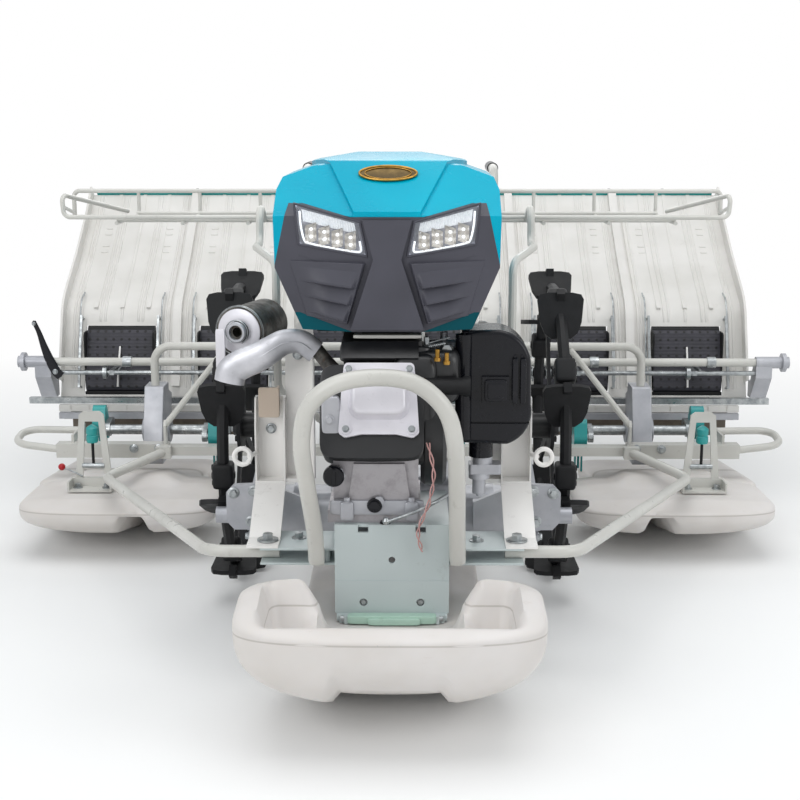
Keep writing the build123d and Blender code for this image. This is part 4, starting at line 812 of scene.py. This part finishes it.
def rounded_line(knots, radius, steps=9):
    """A line of straight runs whose corners are arcs: corner + r (cos, sin), tangent to both runs."""
    knots = np.array(knots, float)
    line = [knots[:1]]
    for before, corner, after in zip(knots[:-2], knots[1:-1], knots[2:]):
        come, go = corner - before, after - corner
        come, go = come / np.linalg.norm(come), go / np.linalg.norm(go)
        turn = math.atan2(come[0] * go[1] - come[1] * go[0], come @ go)
        reach = radius * math.tan(abs(turn) / 2)
        side = np.sign(turn) * np.array([-come[1], come[0]])
        angle = np.linspace(0, abs(turn), steps)[:, None]
        line.append(corner - come * reach + radius * (np.sin(angle) * come + (1 - np.cos(angle)) * side))
    line = np.concatenate(line + [knots[-1:]])
    return np.concatenate([np.zeros((len(line), 1)), line], 1)


def tray_ribs():
    """Pressed ribs: a half-round section w cos t, h sin t carried up the sheet's upper face."""
    turn = np.linspace(0, np.pi, 7)
    ribs = []
    for first, shifts in (((0.4545, 0.46), (-0.056, -0.044, 0, 0.044, 0.056)),
                          ((0.3935, 0.292), (-0.126, -0.116, 0.116, 0.126))):
        path = rounded_line([first, *TRAY_LINE], TRAY_BEND)
        run = np.gradient(path, axis=0)
        run /= np.linalg.norm(run, axis=1)[:, None]
        upward = np.cross(X, run)
        ends = np.ones(len(path))
        ends[0] = ends[-1] = 0.05
        for centre in ROW_X:
            for shift in shifts:
                section = RIB_HALF * np.cos(turn)[None, :, None] * X \
                    + (ends[:, None] * RIB_HIGH * np.sin(turn))[..., None] * upward[:, None]
                foot = path[:, None] + upward[:, None] * SHEET_HALF + (centre + shift) * X
                ribs.append((foot + section, False, False))
    piece("tray_pressed_ribs", ribs, "seedling_tray", "ivory_plastic")


def tray_tabs():
    """Short pressed bars on both sides of each row, square to the slope of the sheet's middle run."""
    rise = TRAY_LINE[2] - TRAY_LINE[1]
    slope = rise / np.linalg.norm(rise)
    marks = []
    for centre in ROW_X:
        for shift in (-0.086, 0.086):
            for share in (0.2, 0.34, 0.62, 0.76):
                foot = TRAY_LINE[1] + rise * share + 0.003 * np.array([-slope[1], slope[0]])
                tab = (centre + shift, *foot)
                marks.append(block(tab, (0.009, 0.0035, 0.0016), 0.2, X, (0, *slope), 9, 16))
    piece("tray_pressed_tabs", marks, "seedling_tray", "ivory_plastic")


# the feed shaft, and the plane of its hand lever
SHAFT_Y, SHAFT_Z = 0.308, 0.351
LEVER_Y = 0.2945


def feed_details():
    """Rolled bellows on the feed shaft, pawls beside each belt and black joints on the top strip."""
    along = np.linspace(0, 0.118, 119)
    wave = 0.0125 + 0.0045 * np.cos(2 * np.pi * along / 0.0107)
    cover = turned(np.stack([along, wave], -1), (0.33, SHAFT_Y, SHAFT_Z), X, 32)
    piece("feed_shaft_bellows", [cover], "seedling_tray", "rubber_black")
    cuffs = [peg(0.0165, 0.008, (start, SHAFT_Y, SHAFT_Z), X) for start in (0.324, 0.446)]
    piece("feed_shaft_cuffs", cuffs, "seedling_tray", "zinc_steel")
    joints = [block((x, 0.8547, 0.7756), (0.005, 0.007, 0.016), 0.3) for x in (-0.588, 0.606, 0.76)]
    piece("top_strip_joints", joints, "seedling_tray", "black_plastic")
    pawls = []
    for x in ROW_X:
        pawls.append(block((x + 0.016, 0.352, SHAFT_Z), (0.004, 0.04, 0.009), 0.35))
        pawls.append(peg(0.017, 0.01, (x - 0.022, SHAFT_Y, SHAFT_Z), X, 20))
        pawls.append(peg(0.0145, 0.022, (x + 0.03, SHAFT_Y, SHAFT_Z + 0.028), X, 20))
    piece("feed_pawls", pawls, "seedling_tray", "zinc_steel")


def tray_wires():
    """Zinc-plated guide wires beside each belt window and a short white finger over each belt."""
    wires, fingers = [], []
    sheet_y, sheet_z = np.array([0.4, 0.467, 0.52]), np.array([0.31, 0.495, 0.528])
    for x in ROW_X:
        for shift in (-0.108, 0.108):
            knots = [(x + shift, y - 0.012, z + 0.004) for y, z in zip(sheet_y, sheet_z)]
            wires.append(tube(smoothed(knots, 30), 0.0022, 8, X))
        finger = ((x, 0.418, 0.4), (x - 0.001, 0.392, 0.35), (x - 0.002, 0.376, 0.3))
        fingers.append(tube(smoothed(finger, 24), 0.0026, 10, X))
    piece("tray_guide_wires", wires, "seedling_tray", "zinc_steel")
    piece("belt_fingers", fingers, "seedling_tray", "white_paint")


def feed_handle():
    """The flat curved feed lever: an oval bar a quarter as thick as it is wide, pinned at its foot."""
    knots = ((-0.931, 0.488), (-0.918, 0.458), (-0.907, 0.422), (-0.894, 0.386), (-0.879, 0.356),
             (-0.866, 0.342))
    path = smoothed([(x, LEVER_Y, z) for x, z in knots], 50)
    t = np.linspace(0, 1, 50)
    width = (0.006 + 0.0065 * smooth_step(t, 0.1, 0.7)) * (t > 0.01) * (t < 0.99)
    points, round_rows, round_columns = tube(path, width, 20, Y)
    points[..., 1] = LEVER_Y + 0.28 * (points[..., 1] - LEVER_Y)
    lever = (points, round_rows, round_columns)
    piece("feed_handle", [lever], "chassis", "black_plastic", stands_for=("feed_lever",))
    pins = bolt((-0.88, 0.2905, 0.356), -Y, 0.009, 0.007, 0.004)
    pins += bolt((-0.929, 0.2915, 0.48), -Y, 0.007, 0.005, 0.004)
    piece("feed_handle_pins", pins, "chassis", "zinc_steel")


def belt_windows():
    """Black cheeks and rollers that close each belt's window behind the sheet."""
    grids = []
    for x in ROW_X:
        for shift in (-0.0905, 0.0905):
            grids.append(block((x + shift, 0.424, 0.362), (0.0022, 0.024, 0.078), 0.2))
        grids.append(peg(0.0125, 0.178, (x - 0.089, 0.452, 0.438), X))
        grids.append(block((x, 0.396, 0.2795), (0.0925, 0.006, 0.0055), 0.2))
    piece("belt_cheeks_and_rollers", grids, "seedling_tray", "rubber_black")


# ---- Floats ---------------------------------------------------------------------------------------

def float_rows(front, back, nose, tail, rows=90):
    """Rows along a float, close together at its ends, and how full it is: (1 - |t|^3)^(1/3) over each end."""
    y = front + (back - front) * (1 - np.cos(np.linspace(0, np.pi, rows))) / 2
    ahead, behind = np.clip((front + nose - y) / nose, 0, 1), np.clip((y - back + tail) / tail, 0, 1)
    full = (1 - np.minimum(ahead, 0.9999) ** 3) ** (1 / 3) * (1 - np.minimum(behind, 0.9999) ** 3) ** (1 / 3)
    full[0] = full[-1] = 0.0
    return y, full


def moulded_hull(y, full, left, right, deck, seam, keel, around=112):
    """A closed hull in two moulded halves that meet at the seam; deck and keel give a height at each x and y.

    Across each row x runs from left to right as cos a.  The deck half is seam + (deck - seam) r(5) and the
    keel half seam - (seam - keel) r(2.6), where r(p) = (1 - |cos a|^p)^(1/p) rolls each one over at its edge.
    """
    angle = np.linspace(0, 2 * np.pi, around, endpoint=False)
    across = np.cos(angle)[None, :]
    middle, half = ((left + right) / 2)[:, None], ((right - left) / 2 * full)[:, None]
    x = middle + half * across
    rows = np.broadcast_to(y[:, None], x.shape)
    upper = (np.sin(angle) >= 0)[None, :]
    share = np.where(upper, 5.0, 2.6)
    roll = np.clip(1 - np.abs(across) ** share, 0, 1) ** (1 / share) * full[:, None] ** 0.7
    z = seam[:, None] + np.where(upper, deck(x, rows) - seam[:, None], keel(x, rows) - seam[:, None]) * roll
    return np.stack([x, rows, z], -1), False, True


def centre_float():
    """The long middle float: a broad round bow, dished behind its lip, and a shallow tunnel below."""
    y, full = float_rows(-1.185, 0.425, 0.085, 0.035, 150)
    half = 0.25 - 0.085 * smooth_step(y, -1.0, -0.8) - 0.047 * smooth_step(y, 0.06, 0.13)
    seam = 0.203 + 0.01 * smooth_step(y, -1.18, -1.08) - 0.12 * smooth_step(y, -1.03, -0.9)

    def deck(x, rows):
        crest = np.interp(rows, (-1.185, -1.16, -1.1, -1.04, -0.985, -0.945, -0.9, 0, 0.425),
                          (0.218, 0.226, 0.24, 0.25, 0.248, 0.205, 0.132, 0.112, 0.094))
        floor = np.interp(rows, (-1.14, -1.09, -0.96, -0.9), (0.19, 0.158, 0.14, 0.13))
        inside = smooth_step(0.214 - np.abs(x), 0, 0.03) * smooth_step(rows, -1.158, -1.118)
        shut = smooth_step(np.abs(x), 0.108, 0.15) * smooth_step(rows, -1.035, -0.985)
        ribs = 0.5 * np.exp(-((np.abs(x) - 0.125) / 0.014) ** 2) * smooth_step(rows, -1.13, -1.0)
        return crest - (crest - floor) * inside * (1 - shut) * (1 - ribs)

    def keel(x, rows):
        rise = np.interp(rows, (-1.185, -1.135, -1.035, -0.93, -0.88), (0.128, 0.088, 0.04, 0.004, 0))
        return rise + 0.022 * smooth_step(0.1 - np.abs(x), 0, 0.016)

    lip_x = np.linspace(-0.228, 0.228, 90)
    lip = np.stack([lip_x, -1.181 + 0.075 * (np.abs(lip_x) / 0.25) ** 5, np.full(90, 0.2065)], -1)
    hull = moulded_hull(y, full, -half, half, deck, seam, keel)
    piece("centre_float_hull", [hull], "chassis", "float_plastic", NODE_FINISHES["centre_float"],
          ("centre_float",), 60)
    tab = block((-0.004, -1.1795, 0.2055), (0.055, 0.004, 0.0065), 0.3)
    dots = [turned([(0, 0), (0, 0.003), (0.0012, 0.0024), (0.0014, 0)], (x, -1.1835, 0.206), -Y, 16)
            for x in (-0.018, 0, 0.018)]
    piece("centre_float_lip", [tube(lip, 0.003, 10), tab], "chassis", "float_plastic")
    piece("centre_float_tab_studs", dots, "chassis", "zinc_steel")


# inner and outer x, front and back y, length of the rounded nose: the broad front, then the two tails
SIDE_HULLS = ((0.413, 0.868, -0.193, 0.126, 0.075), (0.482, 0.718, 0.02, 0.435, 0.03),
              (0.782, 0.868, 0.02, 0.435, 0.03))


def side_float(side, name):
    """An outer float: a broad front with two keels, and behind it the two tails that straddle a claw."""
    def deck(x, rows):
        mound = smooth_step(0.15 - np.abs(np.abs(x) - 0.655), 0, 0.06) * smooth_step(rows, -0.06, 0.02)
        slope = np.interp(rows, (-0.193, -0.14, 0, 0.15, 0.435), (0.126, 0.141, 0.142, 0.126, 0.092))
        return slope + 0.021 * mound * smooth_step(0.2 - rows, 0, 0.12)

    def keel(x, rows):
        rise = np.interp(rows, (-0.193, -0.15, 0, 0.107), (0.088, 0.062, 0.028, 0))
        return rise + 0.048 * np.exp(-((np.abs(x) - 0.6) / 0.028) ** 4)

    grids = []
    for inner, outer, front, back, nose in SIDE_HULLS:
        y, full = float_rows(front, back, nose, 0.03, 80)
        edges = sorted((side * inner, side * outer))
        seam = np.interp(y, (-0.193, -0.1, 0.15, 0.435), (0.114, 0.112, 0.096, 0.07))
        left, right = (np.full(len(y), edge) for edge in edges)
        grids.append(moulded_hull(y, full, left, right, deck, seam, keel))
    piece(f"{name}_hull", grids, "chassis", "float_plastic", stands_for=(name,), sharp_deg=60)


MAST_X, MAST_Y = 0.712, -0.0475
# height above the mast's foot, and radius
SLEEVE = ((0.046, 0), (0.046, 0.0125), (0.05, 0.014), (0.062, 0.014), (0.064, 0.012), (0.068, 0.014),
          (0.08, 0.014), (0.084, 0.01), (0.09, 0))


def float_details():
    """Sleeves in the mast windows, their pins, and the marker lever with its ball on the right."""
    sleeves, rods, pins = [], [], []
    for side in (1, -1):
        sleeves.append(turned(SLEEVE, (side * MAST_X, MAST_Y, 0.206), Z, 24))
        rods.append(peg(0.0035, 0.052, (side * MAST_X, MAST_Y, 0.202), Z, 12))
        pins.append(peg(0.006, 0.052, (side * MAST_X - 0.026, MAST_Y, 0.196), X, 14))
    piece("mast_rods", rods, "chassis", "rubber_black")
    stem = smoothed([(-0.738, -0.05, 0.17), (-0.76, -0.052, 0.182), (-0.781, -0.054, 0.192)], 16)
    piece("marker_lever_stem", [tube(stem, 0.0022, 10)], "chassis", "zinc_steel")
    ball = turned([(-0.0085, 0), (-0.0075, 0.004), (-0.004, 0.0075), (0, 0.0085), (0.004, 0.0075),
                   (0.0075, 0.004), (0.0085, 0)], (-0.785, -0.055, 0.194), X, 24)
    piece("marker_lever_ball", [ball], "chassis", "black_plastic",
          moulded_plastic("red_phenolic_ball", "B3242C", "9C1C24", 0.25, 1.0, 0.05, 0.1))
    piece("mast_sleeves", sleeves, "chassis", "teal_paint")
    piece("mast_pins", pins, "chassis", "zinc_steel")


# ---- Bumper and hood front ------------------------------------------------------------------------

HOOP_KNOTS = (
    (-0.131, -0.877, 0.232), (-0.134, -0.886, 0.3), (-0.143, -0.915, 0.385), (-0.149, -0.948, 0.462),
    (-0.141, -0.957, 0.52), (-0.116, -0.962, 0.556), (-0.076, -0.965, 0.577), (-0.021, -0.966, 0.584),
    (0.031, -0.965, 0.577), (0.069, -0.962, 0.553), (0.095, -0.957, 0.516), (0.107, -0.948, 0.46),
    (0.111, -0.915, 0.385), (0.113, -0.886, 0.3), (0.115, -0.877, 0.232),
)


def bumper():
    """The bumper's round tube, its foot pads and the closed tube ends."""
    path = smoothed(HOOP_KNOTS, 140)
    radius = np.full(len(path), 0.0145)
    radius[0] = radius[-1] = 0.0
    radius[1] = radius[-2] = 0.0135
    pads = [block((x, -0.868, 0.245), (0.01, 0.0055, 0.0145), 0.2) for x in (-0.128, 0.112)]
    piece("bumper_tube", [tube(path, radius, 28, Y), *pads], "chassis", "ivory_paint",
          stands_for=("bumper_hoop",))


# half across from the hood's middle and height: outer top, inner top, inner foot, outer foot
CHEEK_CORNERS = np.array([(0.17, 0.762), (0.036, 0.757), (0.068, 0.65), (0.14, 0.664)])
LOUVRE_STEPS = 3


def hood_cheek(side, name):
    """Fascia cheek: a four-cornered patch that swells towards the nose and steps back at three louvres.

    Its height above the wall is 11 s + 11 w(s) saw(t) millimetres.  s is the share of the way in to the nose,
    t the share of the way down, and w fades the louvres out before the outer edge.
    """
    s, t = np.linspace(0, 1, 60)[:, None], np.linspace(0, 1, 121)[None, :]
    outer_top, inner_top, inner_foot, outer_foot = CHEEK_CORNERS
    s3, t3 = s[..., None], t[..., None]
    outer, inner = (1 - t3) * outer_top + t3 * outer_foot, (1 - t3) * inner_top + t3 * inner_foot
    place = (1 - s3) * outer + s3 * inner
    step = np.clip((t - 0.1 - 0.06 * s) / 0.8, 0, 0.9999) * LOUVRE_STEPS
    saw = np.clip((step % 1.0) / 0.8, 0, 1) * smooth_step(1.0 - (step % 1.0), 0, 0.06)
    fade = smooth_step(s, 0.06, 0.55) * smooth_step(1.0 - s, 0.04, 0.12)
    rim = smooth_step(s, 0, 0.03) * smooth_step(t, 0, 0.02) * smooth_step(1 - t, 0, 0.02)
    swell = 0.001 + 0.011 * s * smooth_step(1.0 - s, 0, 0.03) + 0.011 * fade * saw
    lift = swell * rim - 0.002 * (1 - rim)
    wall = HOOD_FRONT_Y - HOOD_FRONT_LEAN * (place[..., 1] - HOOD_FOOT_Z)
    points = np.stack([HOOD_X + side * place[..., 0], wall - lift, place[..., 1]], -1)
    piece(f"{name}_fascia_cheek", [(points, False, False)], "hood", "grey_plastic", sharp_deg=30)


def front_plate_dress():
    """The float's hinge bar below the front plate, with its end pins, and the cross-plates' fasteners."""
    bar = [block((0, -0.89, 0.14), (0.078, 0.01, 0.0075), 0.2),
           block((0.004, -0.9, 0.1385), (0.046, 0.006, 0.006), 0.25)]
    piece("float_hinge_bar", bar, "chassis", "grey_green_paint",
          enamel("pale_green_enamel_on_steel", "B4D3C4", "A6C6B6", gloss=0.35))
    pins = [peg(0.005, 0.012, (x, -0.89, 0.14), X, 12) for x in (-0.09, 0.078)]
    bolts = [part for x in (-0.05, 0.05) for part in bolt((x, -0.8735, 0.165), -Y, 0.009, 0, 0.003)]
    bolts += bolt((0.15, -0.815, 0.258), Z, 0.014, 0.013, 0.009)
    bolts += bolt((-0.168, -0.8, 0.258), Z, 0.014, 0.013, 0.009)
    piece("front_plate_fasteners", pins + bolts, "chassis", "zinc_steel")


# ---- Everything in place --------------------------------------------------------------------------

lenses = [lamp(side, name) for side, name in ((1, "left"), (-1, "right"))]
piece("lamp_lenses", lenses, "hood", "lamp_lens", stands_for=("headlamps",))
badge()
for wheel_side, wheel_body in SIDES:
    wheel_trim(wheel_side, wheel_body)
centre_float()
for float_side, float_name in ((1, "side_float_left"), (-1, "side_float_right")):
    side_float(float_side, float_name)
bumper()
for cheek_side, cheek_name in ((1, "left"), (-1, "right")):
    hood_cheek(cheek_side, cheek_name)
cylinder_dress()
front_plate_dress()
muffler_face()
exhaust_pipe()
engine_leads()
tray_wires()
feed_handle()
belt_windows()
fasteners()
muffler_trim()
engine_trim()
tray_ribs()
tray_tabs()
feed_details()
float_details()


# ---- Stage, light and camera ----------------------------------------------------------------------

def backdrop():
    """Pale floor that is white to the camera and keeps the machine's shadow."""
    mesh = bpy.data.meshes.new("studio_floor")
    half = 14.0
    corners = [(-half, -half, 0), (half, -half, 0), (half, half, 0), (-half, half, 0)]
    mesh.from_pydata(corners, [], [(0, 1, 2, 3)])
    floor = bpy.data.objects.new("studio_floor", mesh)
    bpy.context.collection.objects.link(floor)
    material, tree, shader, place = started("pale_studio_floor")
    fill(tree, shader, {"Base Color": colour("F6F6F5"), "Roughness": 0.9})
    away = add(tree, "VectorMath", (place,), operation="LENGTH").outputs["Value"]
    fade = add(tree, "MapRange", (away, 1.3, 3.0, 0, 1.0))
    white = add(tree, "Emission", {"Color": colour("FFFFFF"), "Strength": 1.0})
    output = next(node for node in tree.nodes if node.type == "OUTPUT_MATERIAL")
    fill(tree, output, {"Surface": add(tree, "MixShader", (fade, shader, white))})
    mesh.materials.append(material)


def world():
    """Even studio light; the camera and mirrors see a white background."""
    studio = bpy.data.worlds.new("studio")
    bpy.context.scene.world = studio
    studio.use_nodes = True
    tree = studio.node_tree
    tree.nodes.clear()
    path = add(tree, "LightPath")
    light = add(tree, "Background", {"Color": colour("EEF2F6"), "Strength": 0.55})
    white = add(tree, "Background", {"Color": colour("FFFFFF"), "Strength": 1.0})
    soft = add(tree, "Math", (path.outputs["Is Glossy Ray"], 0.45), operation="MULTIPLY")
    seen = add(tree, "Math", (path.outputs["Is Camera Ray"], soft), operation="MAXIMUM")
    seen = add(tree, "Math", (seen, path.outputs["Is Transmission Ray"]), operation="MAXIMUM")
    add(tree, "OutputWorld", {"Surface": add(tree, "MixShader", (seen, light, white))})


def area_light(name, place, aim, size, watts):
    """A soft box of a size in metres, turned from its place to what it lights."""
    lamp = bpy.data.lights.new(name, "AREA")
    lamp.shape = "RECTANGLE"
    lamp.size, lamp.size_y = size
    lamp.energy = watts
    holder = bpy.data.objects.new(name, lamp)
    bpy.context.collection.objects.link(holder)
    holder.location = place
    holder.rotation_euler = (Vector(aim) - Vector(place)).to_track_quat("-Z", "Y").to_euler()


def camera():
    """A long lens at head height, a little right of the middle, that looks down at the machine's front."""
    view = bpy.data.cameras.new("front_view")
    view.lens = 61.56
    view.sensor_width = 36.0
    view.clip_end = 60.0
    holder = bpy.data.objects.new("front_view", view)
    bpy.context.collection.objects.link(holder)
    holder.location = (0.032, -3.155, 1.006)
    holder.rotation_euler = (math.radians(90.0 - 11.85), 0, math.radians(0.45))
    bpy.context.scene.camera = holder


backdrop()
world()
area_light("overhead_softbox", (0, -0.6, 3.4), (0, 0, 0.4), (3.6, 3.0), 62.0)
area_light("front_softbox", (-1.9, -3.4, 1.9), (0, -0.5, 0.5), (1.8, 1.8), 34.0)
area_light("side_softbox", (2.8, -2.2, 1.7), (0, -0.3, 0.5), (1.6, 1.8), 22.0)
area_light("back_softbox", (0, 3.2, 2.4), (0, 0.2, 0.5), (3.0, 1.6), 26.0)
camera()

scene = bpy.context.scene
scene.view_settings.view_transform = "Standard"
